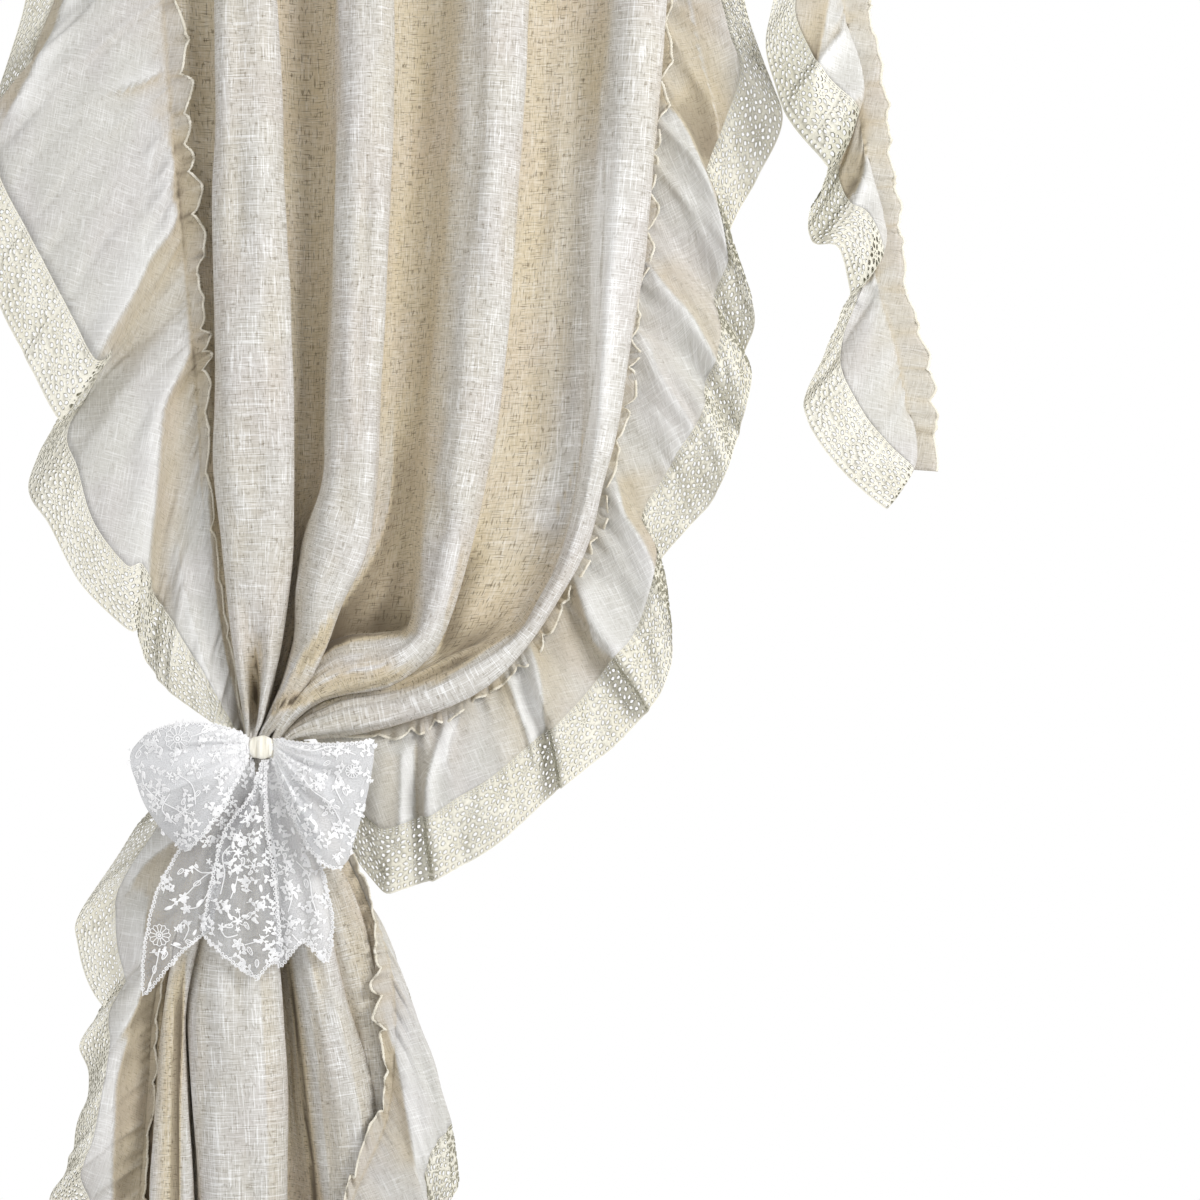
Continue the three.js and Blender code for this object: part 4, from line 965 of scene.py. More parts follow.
@dataclass
class Panel:
    """The gathered panel of linen: four deep folds that hang, swing in to the tie and fall again."""

    rows: int = 176
    thickness: float = 0.0009
    cut: Cut = Cut(0.70, 2.04, Held.HUNG)
    samples: int = 2001
    turn_end: float = 16.0
    seam_gap: float = 1.8
    pleat_pitch: float = 0.019
    pleat_height: float = 0.0014
    rumple: Rumple = field(default_factory=lambda: Rumple(0.05, 0.22, 0.0011, 5))
    fine: Rumple = field(default_factory=lambda: Rumple(0.021, 0.09, 0.0006, 8))

    def places(self) -> Array:
        """Places of the rows, even along the folds and closer together at the tie.

        Returns:
            The places, counted in the tables' rows.
        """
        fine = np.linspace(0, len(FOLD_1) - 1, self.samples)
        path = np.mean([smooth(rows, fine)[:, :2] for rows in FOLDS], axis=0)
        steps = np.linalg.norm(np.diff(path, axis=0), axis=1)
        crowding, reach = 1.6, 1.6
        steps *= 1 + crowding * np.exp(-(((fine[1:] - TIE_SECTION) / reach) ** 2))
        length = np.concatenate([[0], np.cumsum(steps)])
        return np.interp(np.linspace(0, length[-1], self.rows), length, fine)

    def edge(self, seam: Rows, places: Array, inset: Array | float, turn: Array | float) -> Array:
        """Points of the edge sewn to a ruffle; a turn of one brings it in front of the ruffle.

        Args:
            seam: the seam's table.
            places: where, counted in the table's rows.
            inset: how far in from the seam, in mm.
            turn: nought behind the ruffle, one in front.

        Returns:
            The points.
        """
        row, side = smooth(seam, places), across(seam, places)
        out = inset - self.seam_gap * np.sin(turn * math.pi)
        depth = row[:, 2] + self.seam_gap * np.cos(turn * math.pi)
        return placed(row[:, 0] + side[:, 0] * out, row[:, 1] + side[:, 1] * out, depth)

    def fold(self, index: int, places: Array, trough: Array, turn: Array) -> list[Array]:
        """Points over one fold, from its left foot over its crest to its right foot.

        Args:
            index: which fold.
            places: where, counted in the table's rows.
            trough: depth of its left foot.
            turn: depth of its right foot.

        Returns:
            The points, one array for each place over the fold.
        """
        row, side = smooth(FOLDS[index], places), across(FOLDS[index], places)
        x, drop, half, near, split = row.T
        left, right = ROLLS[index]

        def point(out: Array | float, depth: Array) -> Array:
            """Point at a share of the half width out from the crest."""
            return placed(x + side[:, 0] * out * half, drop + side[:, 1] * out * half, depth)

        lefts = [(mix(a, c, left), mix(b, d, left)) for a, b, c, d in LEFT_FLANK]
        rights = [(mix(a, c, right), mix(b, d, right)) for a, b, c, d in RIGHT_FLANK]
        foot = mix(rights[2][0], 1.16, clamp(-turn / 12))
        points = [point(-lefts[0][0], -lefts[0][1] * trough)]
        points += [point(-out, -high * near) for out, high in lefts[1:]]
        points.append(point(0, -(1 - split) * near))
        points += [point(out, -high * near) for out, high in rights[:2]]
        return [*points, point(foot, turn)]

    def sections(self, places: Array) -> Array:
        """The main points of every row, from the left seam to the right one.

        Args:
            places: where, counted in the table's rows.

        Returns:
            The points, as (row, point, 3).
        """
        troughs = smooth(TROUGHS, places)
        turns = [0.4 * troughs[:, k + 1] for k in range(3)] + [troughs[:, 4]]
        folds = [self.fold(k, places, troughs[:, k], turns[k]) for k in range(4)]

        def between(a: Array, b: Array, share: float, depth: Array) -> Array:
            """Point between two others, brought to a depth."""
            point = mix(a, b, share)
            point[:, 1] = depth
            return point

        room = mix(0.12, 1, np.minimum(1, np.abs(places - TIE_SECTION) / 5))
        flat = self.edge(LEFT_SEAM, places, 10 * room, 0)
        points = [self.edge(LEFT_SEAM, places, -1, 0), flat]
        points.append(between(flat, folds[0][0], 0.6, troughs[:, 0] * MM))
        for k, fold in enumerate(folds):
            points += fold
            if k < 3:
                depth = troughs[:, k + 1] * MM
                points += [between(fold[-1], folds[k + 1][0], share, depth) for share in (0.33, 0.67)]
        edge = self.edge(RIGHT_SEAM, places, 0, clamp((self.turn_end - places) / 2))
        depth = mix(troughs[:, 4] * MM, edge[:, 1], 0.75)
        points += [between(points[-1], edge, 0.6, depth), edge]
        return np.stack(points, axis=1)

    def creased(self, points: Array, normals: Array) -> Array:
        """How high the listed creases raise each point, in metres.

        Args:
            points: the grid, as (row, column, 3).
            normals: which way it faces.

        Returns:
            The height at each point.
        """
        x, drop = points[..., 0] / MM - DATUM_X, -points[..., 2] / MM - DATUM_DROP
        total = np.zeros(x.shape)
        for x0, drop0, x1, drop1, half, high in CREASES:
            run = np.array([x1 - x0, drop1 - drop0], float)
            length = np.hypot(*run)
            share = ((x - x0) * run[0] + (drop - drop0) * run[1]) / length**2
            bend = 4 * math.sin(length) * np.sin(math.pi * share)
            off = ((x - x0) * run[1] - (drop - drop0) * run[0]) / length + bend
            taper = soft_step(share, -0.05, 0.3) * soft_step(1 - share, -0.05, 0.3)
            total += high * taper * np.exp(-((off / half) ** 2))
        return total * MM * soft_step(-normals[..., 1], 0.1, 0.6)

    def cloth(self) -> Cloth:
        """The panel's surface.

        Returns:
            The cloth.
        """
        places = self.places()
        main = self.sections(places)
        steps = [3] + [5] * (main.shape[1] - 2)
        steps[2] = 8
        for trough in (9, 18, 27):
            steps[trough:trough + 3] = [7] * 3
        base = rounded(main, steps)
        u = np.broadcast_to(np.mean(running_length(base, 1), axis=0), base.shape[:2])
        v = np.broadcast_to(np.mean(running_length(base, 0), axis=1)[:, None], base.shape[:2])
        normals = grid_normals(base)
        tight = np.exp(-(((places - TIE_SECTION) / 2.2) ** 2))[:, None]
        height = self.rumple.at(u, v) * (1 - 0.6 * tight) + self.fine.at(u, v) * (1 - 0.3 * tight)
        pleats = np.sin(math.tau * u / self.pleat_pitch + 0.8 * np.sin(math.tau * u / 0.083))
        height = height + self.pleat_height * pleats * tight + self.creased(base, normals)
        ends = soft_step(np.minimum(u, u[:, -1:] - u), 0.0, 0.012)
        points = base + normals * (height * ends)[..., None]
        points[0, :, 2], points[-1, :, 2] = base[0, :, 2], base[-1, :, 2]
        raised, dark = laid(PANEL_RIDGES, points)
        seen = soft_step(-normals[..., 1], 0.0, 0.5)
        points = mix(points, raised, (seen * ends)[..., None])
        depth = points[..., 1] / MM
        # Painted shade: tan the further back the cloth lies and in the troughs of its rumples; the folds'
        # painted shade and highlights are added where the cloth faces forward.
        painted_shade_and_gather = 0.75 * soft_step(depth, -22, 8) + 0.25 * clamp(0.5 - height / 0.004)
        return Cloth.of_grid(points, np.stack([u, v], axis=-1), np.clip(painted_shade_and_gather + 0.7 * dark * seen, -1, 2))

    def build(self) -> bpy.types.Object:
        """Makes the panel.

        Returns:
            The piece.
        """
        cloth = self.cloth()
        piece = fit(cloth.object("linen_panel", LINEN.material(), self.thickness), ["panel"])
        self.cut.declare(piece)
        return piece


# The gathers at a ruffle's seam. Columns: pitch, in the finest ones; height and fade, in metres.
GATHERS: Rows = ((1, 0.0014, 0.013), (2.3, 0.0026, 0.03), (4.6, 0.0028, 0.07))


@dataclass
class Ruffle:
    """A gathered ruffle of linen with its frill at the seam and lace at its outer edge."""

    name: str
    seam: Rows
    rays: Rows
    node: str
    lace_node: str
    columns: int
    repeats: int
    seed: int
    cut: Cut
    lace_cut: Cut
    hangs_from: tuple[str, ...] = ("linen_panel",)
    ridges: tuple[Ridge, ...] = ()
    lace_width: float = 65.0
    most_lace: float = 0.42
    linen_rows: int = 22
    frill_rows: int = 5
    thickness: float = 0.0008
    gather: float = 0.0105
    weave: float = 0.2
    # Painted shade on the lace: the share of the folds' shade that it takes, and the shade on the sunk rims
    # of its gaps.
    lace_shade: float = 0.15
    rim_shade: float = 2.0
    scallop: float = 0.7
    samples: int = 6001
    rumple: Rumple = field(default_factory=lambda: Rumple(0.06, 0.08, 0.0014, 17))

    def point(self, places: Array, share: Array) -> Array:
        """Point of the plain ruffle, from the seam at a share of nought to the lace's edge at one.

        Args:
            places: where, counted in rays.
            share: how far out.

        Returns:
            The points.
        """
        ray = smooth(self.rays, places)
        seam = smooth(self.seam, ray[..., 0])
        hump = 4 * share * (1 - share)
        reach = ray[..., 1] - seam[..., 0]
        return placed(
            mix(seam[..., 0], ray[..., 1], share) + ray[..., 4] * hump,
            mix(seam[..., 1], ray[..., 2], share) - hump * 0.04 * np.abs(reach),
            mix(seam[..., 2], ray[..., 3], share**1.3) - ray[..., 5] * hump,
        )

    def lace_start(self, places: Array) -> Array:
        """Share of the ray at which the lace starts.

        Args:
            places: where, counted in rays.

        Returns:
            The share.
        """
        ray = self.point(places, np.ones_like(places)) - self.point(places, places * 0)
        return 1 - np.minimum(self.lace_width * MM / np.linalg.norm(ray, axis=-1), self.most_lace)

    def even_places(self, count: int) -> Array:
        """Places of columns that are even along the ruffle's middle.

        Args:
            count: how many.

        Returns:
            The places.
        """
        fine = np.linspace(0, len(self.rays) - 1, self.samples)
        lengths = [running_length(self.point(fine, np.full_like(fine, share)), 0) for share in (0.02, 0.6, 1)]
        length = sum(weight * values for weight, values in zip((0.3, 0.4, 0.3), lengths))
        return np.interp(np.linspace(0, length[-1], count), length, fine)

    def seam_length(self, places: Array) -> Array:
        """Length along the gathering, in metres, with an uneven beat.

        Args:
            places: where, counted in rays.

        Returns:
            The length.
        """
        fine = np.linspace(0, len(self.rays) - 1, self.samples)
        seam, inner = (running_length(self.point(fine, np.full_like(fine, share)), 0) for share in (0, 0.3))
        length = 0.5 * seam + 0.5 * inner
        chance = np.random.default_rng(self.seed)
        for _ in range(5):
            pitch, phase = chance.uniform(0.03, 0.13), chance.uniform(0, math.tau)
            length = length + 0.0022 * np.sin(math.tau * length / pitch + phase)
        return np.interp(places, fine, length)

    def gathered(self, points: Array, places: Array) -> tuple[Array, Array]:
        """Raises the gathers on a grid whose first axis runs from the seam outwards.

        Args:
            points: the plain grid.
            places: the place of each column.

        Returns:
            The raised grid, and the height of the gathers at each point.
        """
        normals = grid_normals(points)
        away = running_length(points, 0)
        length = self.seam_length(places)
        chance = np.random.default_rng(self.seed + 1)
        height = np.zeros(points.shape[:2])
        for pitch, high, fade in GATHERS:
            phase, lean = chance.uniform(0, 6), chance.uniform(-9, 9)
            wave = np.sin(math.tau * length / (self.gather * pitch) + phase + lean * away)
            strength = 0.7 + 0.5 * np.sin(math.tau * length / (0.11 * pitch) + 2 * phase)
            rise = soft_step(away, -0.006, 0.006 * pitch)
            height += high * strength * rise * wave * np.exp(-((away / fade) ** 1.5))
        height += self.rumple.at(length * 1.6, away) * soft_step(away, 0.02, 0.07)
        return points + normals * height[..., None], height

    def grid(self, places: Array, shares: Array) -> tuple[Array, Array]:
        """Grid of the ruffle with its gathers; shares has a row for each step outwards."""
        plain = self.point(np.broadcast_to(places, shares.shape), shares)
        return self.gathered(plain, places)

    def frill(self, places: Array) -> Array:
        """Grid of the frill, from its free edge to the seam.

        Args:
            places: of its columns.

        Returns:
            The grid.
        """
        ray = smooth(self.rays, places)
        x, drop, depth, right, down, forwards = smooth(self.seam, ray[:, 0]).T
        length = self.seam_length(places)
        wave = 0.62 * np.sin(math.tau * length / 0.023) + 0.38 * np.sin(math.tau * length / 0.013 + 2)
        rows = []
        for share in np.linspace(1, 0, self.frill_rows + 1)[:-1]:
            open_ = share**0.8 * (1 + 0.85 * wave)
            sway = 1.2 + self.scallop * (self.scallops(length) - 1) + 0.04 * np.sin(math.tau * length / 0.021)
            rows.append(placed(
                x + right * share * sway, drop + down * share * sway, depth - forwards * open_,
            ))
        return np.stack(rows)

    def scallops(self, length: Array) -> Array:
        """Rounded waves of the frill's free edge, from nought in its notches to one."""
        turn = math.pi * length / 0.043 + 0.9 * np.sin(math.tau * length / 0.23)
        return np.abs(np.sin(turn)) ** 0.7 * (0.72 + 0.28 * np.sin(math.tau * length / 0.15 + 1))

    def linen(self) -> Cloth:
        """The linen, with its frill.

        Returns:
            The cloth.
        """
        places = self.even_places(self.columns)
        steps = np.linspace(0, 1, self.linen_rows)[:, None] ** 1.15
        outer, height = self.grid(places, steps * self.lace_start(places))
        frill = self.frill(places)
        points = np.concatenate([frill, outer])
        # Painted shade: on the steep sides of the gathers, over the whole frill and more in its notches, in
        # the troughs of the gathers near the seam and in a line along the seam; then the folds' painted shade
        # and highlights.
        slope = soft_step(np.abs(np.gradient(points[..., 1], axis=1)), 0.0, 0.004)
        shade = 0.2 * slope
        notch = np.exp(-((self.scallops(self.seam_length(places)) / 0.3) ** 2))
        shade[: len(frill)] = 0.4 + 0.3 * slope[: len(frill)] + 0.35 * notch
        from_seam = running_length(outer, 0)
        shade[len(frill):] += 0.5 * clamp(0.5 - height / 0.004) * np.exp(-from_seam / 0.03)
        shade[len(frill):] += 0.5 * np.exp(-((from_seam / 0.002) ** 2))
        points, dark = laid(self.ridges, points)
        c, s = math.cos(self.weave), math.sin(self.weave)
        x, y, z = np.moveaxis(points, -1, 0)
        uv = np.stack([c * x - s * z + 0.5 * y, s * x + c * z + 0.5 * y], axis=-1)
        return Cloth.of_grid(points, uv, np.clip(shade + 0.85 * dark, -1, 2))

    def overlock(self) -> Cloth:
        """Overlocked edge along the frill's free edge.

        Returns:
            The edge's surface.
        """
        places = self.even_places(self.columns * 2)
        rows, _ = laid(self.ridges, self.frill(places))
        side = rows[1] - rows[0]
        side /= np.linalg.norm(side, axis=1, keepdims=True)
        run = np.gradient(rows[0], axis=0)
        normal = np.cross(run, side)
        normal /= np.linalg.norm(normal, axis=1, keepdims=True)
        return Cording(0.0016, 0.0011, 0.0027).along(rows[0], normal, side)

    def lace(self, repeat: "LaceRepeat") -> Cloth:
        """Lace between the linen's edge and the outer edge, on repeats of one pattern.

        Args:
            repeat: the pattern.

        Returns:
            The lace.
        """
        places = self.even_places(self.columns)
        start = self.lace_start(places)
        share = np.linspace(0, 1, 16)[:, None]
        rows = mix(start, 1.0, share)
        lead = np.linspace(0, 1, 12)[:-1, None] * start
        grid, _ = self.grid(places, np.concatenate([lead, rows]))
        grid, dark = laid(self.ridges, grid[len(lead):])
        middle = running_length(grid[8], 0)
        ground = Ground(grid, middle / middle[-1])
        shades = Ground(np.repeat(dark[..., None], 3, axis=2), ground.marks, facing=False)
        parts = []
        for k in range(self.repeats):
            along = (k + repeat.points[:, 0] / repeat.length) / self.repeats
            points, normals = ground.at(repeat.points[:, 1] / repeat.width, along)
            points = points + normals * (repeat.relief * 0.0005)[:, None]
            uv = repeat.points + np.array([k * repeat.length, 0])
            shade = shades.at(repeat.points[:, 1] / repeat.width, along)[0][:, 0]
            # Painted shade from the folds, and dark painted shade on the sunk rims of the gaps, where the
            # threads' sides would lie in shade.
            shade = clamp(shade) * self.lace_shade + self.rim_shade * (repeat.relief < 0)
            parts.append(Cloth(points, repeat.faces, uv, shade))
        return joined(parts)

    def build(self, repeat: "LaceRepeat") -> list[bpy.types.Object]:
        """Makes the linen with its frill, its overlocked edge and its lace.

        Args:
            repeat: the lace's pattern.

        Returns:
            The three pieces.
        """
        linen = self.linen().object(f"{self.name}_linen", THIN_LINEN.material(), self.thickness)
        edge = self.overlock().object(f"{self.name}_overlock", OVERLOCK.material())
        lace = self.lace(repeat).object(f"{self.name}_lace", LACE.material())
        fit(linen, [self.node])
        fit(edge)
        fit(lace, [self.lace_node])
        self.cut.declare(linen, self.hangs_from, [edge])
        self.lace_cut.declare(lace, [linen])
        return [linen, edge, lace]


@dataclass
class Ground:
    """A grid of cloth that fine work is laid on; marks holds the place of each column, 0 to 1."""

    grid: Array
    marks: Array
    facing: bool = True

    def __post_init__(self) -> None:
        """Finds which way the cloth faces."""
        self.normals = grid_normals(self.grid) if self.facing else self.grid

    def at(self, down: Array, along: Array) -> tuple[Array, Array]:
        """Points and directions at shares down the rows and along the columns, 0 to 1.

        Args:
            down: share down the rows.
            along: share along the columns, by the marks.

        Returns:
            The points, and which way the cloth faces at each.
        """
        rows, columns = self.grid.shape[:2]
        r = np.clip(down * (rows - 1), 0, rows - 1 - 1e-6)
        c = np.clip(np.interp(along, self.marks, np.arange(columns)), 0, columns - 1 - 1e-6)
        r0, c0 = r.astype(int), c.astype(int)
        a, b = (r - r0)[:, None], (c - c0)[:, None]
        picks = [
            (1 - a) * (1 - b) * field_[r0, c0] + (1 - a) * b * field_[r0, c0 + 1]
            + a * (1 - b) * field_[r0 + 1, c0] + a * b * field_[r0 + 1, c0 + 1]
            for field_ in (self.grid, self.normals)
        ]
        return picks[0], picks[1]


# Rings of gaps in a dense spot. Columns: reach in mm, count, then length and half width in mm.
SPIDER_RINGS = ((2.2, 5, 1.9, 0.75), (7.0, 8, 6.0, 2.0), (13.4, 12, 5.6, 2.4))


@dataclass
class LaceRepeat:
    """One repeat of the lace: dense spots with fans of gaps round them, net between, firm edges.

    Sizes are in metres. points holds the flat places, faces the triangles, and relief how far
    each point stands up.
    """

    length: float = 0.057
    width: float = 0.065
    thread: float = 0.0007
    narrow: float = 0.77
    firm_top: float = 0.0072
    firm_end: float = 0.0078

    def __post_init__(self) -> None:
        """Draws the gaps and fills what is between them."""
        gaps = self.gaps()
        coords, edges = self.outline(), []
        loops = [list(range(len(coords)))]
        for gap in gaps:
            first = len(coords)
            coords += [tuple(point) for point in gap]
            loops.append(list(range(first, first + len(gap))))
        for loop in loops:
            edges += [(a, b) for a, b in zip(loop, loop[1:] + loop[:1])]
        inside_but_gaps = 2
        made = delaunay_2d_cdt([Vector(c) for c in coords], edges, loops, inside_but_gaps, 1e-7)
        points = np.array([tuple(v) for v in made[0]])
        faces = [np.array(made[2], int)]
        relief = [np.ones(len(points))]
        rims = [points]
        where = {old: new for new, of in enumerate(made[3]) for old in of}
        first = len(points)
        # Each gap gets a narrower inner rim, sunk back, on which the lace's painted shade lies.
        for gap, loop in zip(gaps, loops[1:]):
            middle = gap.mean(axis=0)
            rims.append(middle + (gap - middle) * self.narrow)
            relief.append(np.full(len(gap), -1.0))
            ring = [where[index] for index in loop]
            for k, corner in enumerate(ring):
                after = (k + 1) % len(ring)
                faces.append(np.array([
                    (corner, ring[after], first + after), (corner, first + after, first + k),
                ]))
            first += len(gap)
        self.points, self.faces = np.concatenate(rims), np.concatenate(faces)
        self.relief = np.concatenate(relief)

    def outline(self) -> list[tuple[float, float]]:
        """Corners round the repeat, with even steps along it.

        Returns:
            The corners, in order.
        """
        steps = 14
        along = [self.length * k / steps for k in range(steps)]
        down = [self.width * k / steps for k in range(steps)]
        outline = [(x, 0.0) for x in along] + [(self.length, y) for y in down]
        outline += [(self.length - x, self.width) for x in along]
        return outline + [(0.0, self.width - y) for y in down]

    def leaf(self, x: float, y: float, turn: float, length: float, half: float) -> Array:
        """Leaf-shaped gap with its middle at x, y, pointing along the turn.

        Args:
            x: along the repeat.
            y: across it.
            turn: in radians.
            length: of the leaf.
            half: its half width.

        Returns:
            Its six corners.
        """
        t = np.array([-1, -0.45, 0.2, 1, 0.2, -0.45])
        w = np.array([0, 0.85, 0.8, 0, -0.8, -0.85])
        c, s = math.cos(turn), math.sin(turn)
        run, side = t * length / 2, w * half
        return np.stack([x + run * c - side * s, y + run * s + side * c], axis=1)

    def spider(self, x: float, y: float, ring: int) -> list[Array]:
        """One ring of a dense spot: pinholes, then leaf-shaped gaps round it.

        Args:
            x: of the spot's middle.
            y: of the spot's middle.
            ring: which ring, from nought.

        Returns:
            The ring's gaps.
        """
        reach, count, length, half = SPIDER_RINGS[ring]
        turns = [math.tau * (k + 0.5 * (ring % 2)) / count for k in range(count)]
        return [
            self.leaf(x + reach * MM * math.cos(turn), y + reach * MM * math.sin(turn),
                      turn, length * MM, half * MM)
            for turn in turns
        ]

    def edges(self) -> list[Array]:
        """Slits between the firm threads along both edges.

        Returns:
            The gaps.
        """
        rows = (
            (0.0018, 0.0040, 0.0006, 11, 0.0), (0.0042, 0.0040, 0.0007, 11, 0.0),
            (self.width - 0.0036, 0.0046, 0.0016, 11, 1.15),
        )
        return [
            self.leaf(self.length * (k + 0.5) / count, y, turn, length, half)
            for y, length, half, count, turn in rows for k in range(count)
        ]

    def gaps(self) -> list[Array]:
        """All the gaps of the repeat, each clear of the others by a thread.

        Returns:
            The gaps.
        """
        chance = np.random.default_rng(4)
        spots = [(x * self.length, y) for x, y in ((0.25, 0.0205), (0.75, 0.0205))]
        spots += [(0.0, 0.043), (self.length * 0.5, 0.043), (self.length, 0.043)]
        wanted = [
            gap for ring in range(len(SPIDER_RINGS)) for spot in spots
            for gap in self.spider(*spot, ring)
        ]
        for scale in (1.0, 0.65):
            wide, high, pitch = 0.0046 * scale, 0.0060 * scale, 0.0046 * scale
            for j in range(int(self.width / pitch)):
                for k in range(int(self.length / wide) + 1):
                    x = wide * (k + 0.3 + 0.5 * (j % 2)) + chance.normal(0, 0.0001)
                    y = pitch * (j + 0.5) + chance.normal(0, 0.0001)
                    if self.firm_top < y < self.width - self.firm_end:
                        turn = math.pi / 2 + chance.normal(0, 0.12)
                        wanted.append(self.leaf(x, y, turn, 0.92 * high, 0.46 * wide))
        gaps = self.edges()
        taken = np.concatenate([self.rim(gap) for gap in gaps])
        for gap in wanted:
            if not self.inside(gap, 0.0004):
                continue
            rim = self.rim(gap)
            apart = rim[:, None] - taken[None]
            inner = np.min(np.hypot(*(taken - gap.mean(axis=0)).T))
            if np.min(np.hypot(apart[..., 0], apart[..., 1])) > self.thread and inner > 0.0012:
                gaps.append(gap)
                taken = np.concatenate([taken, rim])
        return gaps

    def rim(self, gap: Array) -> Array:
        """Close points all along a gap's edge."""
        share = np.linspace(0, 1, 5)[:-1, None, None]
        return mix(gap[None], np.roll(gap, -1, axis=0)[None], share).reshape(-1, 2)

    def inside(self, gap: Array, margin: float) -> bool:
        """Whether a gap keeps clear of the repeat's ends."""
        x, y = gap.T
        return bool(
            x.min() > margin and x.max() < self.length - margin
            and y.min() > margin and y.max() < self.width - margin
        )


class Motif(Enum):
    """Kinds of embroidered motif."""

    DAISY = "daisy"
    BLOSSOM = "blossom"
    OPEN_LEAF = "open leaf"
    LEAF = "leaf"
    CLUSTER = "cluster"


D, B, O, L, C = Motif.DAISY, Motif.BLOSSOM, Motif.OPEN_LEAF, Motif.LEAF, Motif.CLUSTER
Motifs = tuple[tuple[Motif, float, float, float, float], ...]

# Columns: motif, x, drop, size, and turn in degrees from rightwards towards downwards.
LEFT_LOOP_MOTIFS: Motifs = (
    (D, 186, 736, 13, 0), (O, 214, 727, 10, -30), (O, 160, 741, 10, 160), (L, 169, 749, 8, 110),
    (O, 181, 752, 7, 20), (O, 146, 752, 9, 120), (C, 203, 764, 12, 10), (C, 165, 789, 13, 40),
    (C, 193, 806, 12, 200), (C, 198, 829, 10, 100), (B, 178, 772, 5, 20), (L, 152, 772, 8, 80),
    (L, 176, 812, 8, 60), (B, 184, 830, 4, 0), (C, 224, 752, 10, 300), (C, 228, 772, 9, 30),
    (L, 240, 745, 7, 10), (L, 238, 762, 8, 60), (B, 214, 785, 5, 10), (L, 150, 790, 7, 70),
    (O, 205, 790, 8, 130), (B, 240, 752, 4, 0), (B, 235, 741, 4, 30),
)
RIGHT_LOOP_MOTIFS: Motifs = (
    (O, 312, 745, 8, 10), (L, 322, 744, 7, -20), (O, 333, 746, 8, 15), (L, 344, 744, 7, 0),
    (B, 352, 748, 4, 0), (D, 357, 768, 7, 0), (C, 310, 764, 10, 30), (C, 322, 779, 10, 90),
    (C, 334, 803, 11, 60), (C, 345, 826, 10, 200), (C, 298, 790, 9, 10), (C, 299, 807, 9, 140),
    (C, 292, 758, 9, 0), (B, 300, 774, 5, 0), (L, 366, 790, 8, 100), (O, 350, 788, 9, 70),
    (B, 340, 852, 4, 0), (L, 320, 818, 8, 50), (L, 285, 750, 7, 30), (B, 312, 822, 5, 30),
    (L, 366, 752, 6, 60), (O, 332, 760, 8, 150), (L, 288, 775, 8, 80), (B, 322, 836, 4, 0),
)
LEFT_TAIL_MOTIFS: Motifs = (
    (B, 189, 894, 6, 0), (B, 191, 905, 6, 40), (L, 174, 904, 9, 160), (L, 205, 899, 10, -50),
    (O, 202, 880, 9, 150), (B, 214, 858, 4, 0), (B, 218, 864, 4, 30), (D, 165, 931, 11, 0),
    (O, 195, 938, 9, 20), (O, 170, 951, 9, 120), (O, 160, 965, 8, 100), (L, 182, 940, 8, 10),
    (L, 200, 928, 7, -60), (C, 212, 838, 8, 60), (L, 155, 980, 7, 110), (B, 182, 925, 4, 0),
    (C, 236, 800, 7, 100), (O, 186, 868, 8, 140), (L, 178, 884, 7, 120), (C, 226, 820, 7, 30),
)
MIDDLE_TAIL_MOTIFS: Motifs = (
    (C, 243, 849, 14, 0), (B, 243, 865, 6, 20), (L, 239, 884, 10, 80), (O, 256, 838, 8, -60),
    (C, 243, 916, 14, 90), (O, 254, 911, 9, -50), (B, 243, 939, 7, 10), (O, 255, 946, 9, 60),
    (L, 262, 936, 8, 20), (B, 227, 922, 5, 0), (L, 232, 903, 7, 100), (C, 258, 862, 10, 50),
    (L, 266, 884, 8, 80), (B, 268, 902, 5, 10), (C, 252, 815, 9, 20), (B, 256, 793, 5, 0),
    (L, 262, 806, 7, 80), (O, 262, 958, 8, 90), (B, 272, 925, 5, 30), (C, 259, 776, 6, 80),
)
RIGHT_TAIL_MOTIFS: Motifs = (
    (C, 285, 846, 11, 0), (C, 290, 865, 10, 80), (C, 293, 920, 11, 40), (B, 291, 936, 6, 20),
    (C, 314, 939, 9, 10), (B, 321, 910, 5, 0), (O, 310, 880, 9, 80), (L, 300, 892, 8, 70),
    (L, 312, 858, 8, 60), (B, 324, 932, 4, 0), (C, 282, 806, 9, 20), (B, 279, 785, 5, 0),
    (L, 297, 828, 8, 70), (O, 316, 956, 7, 80), (L, 290, 952, 7, 90), (C, 280, 771, 6, 60),
)
# Stems, each a path of x and drop.
STEMS: tuple[Rows, ...] = (
    ((150, 768), (152, 782), (166, 796), (186, 806)), ((186, 806), (196, 816), (196, 836)),
    ((170, 745), (156, 740), (146, 748)), ((199, 734), (210, 730), (222, 722)),
    ((188, 772), (200, 782), (204, 800)), ((178, 790), (170, 806), (184, 820)),
    ((296, 744), (316, 748), (338, 744), (360, 752)), ((350, 762), (340, 780), (348, 800)),
    ((306, 770), (318, 786), (336, 800), (348, 824)), ((300, 784), (298, 800), (306, 818)),
    ((197, 862), (206, 869), (220, 868)), ((222, 866), (208, 874), (190, 892), (172, 906)),
    ((192, 905), (204, 902), (214, 888)), ((189, 936), (194, 924), (188, 918), (184, 924)),
    ((176, 940), (190, 944), (204, 934)), ((165, 944), (162, 960), (156, 976), (152, 988)),
    ((243, 872), (240, 884), (236, 894)), ((236, 842), (228, 852), (230, 870), (226, 890)),
    ((250, 940), (262, 936), (274, 930)), ((243, 930), (232, 932), (226, 924)),
    ((288, 874), (296, 890), (292, 908)), ((300, 858), (312, 872), (316, 894), (320, 908)),
    ((296, 930), (306, 940), (318, 940)),
)


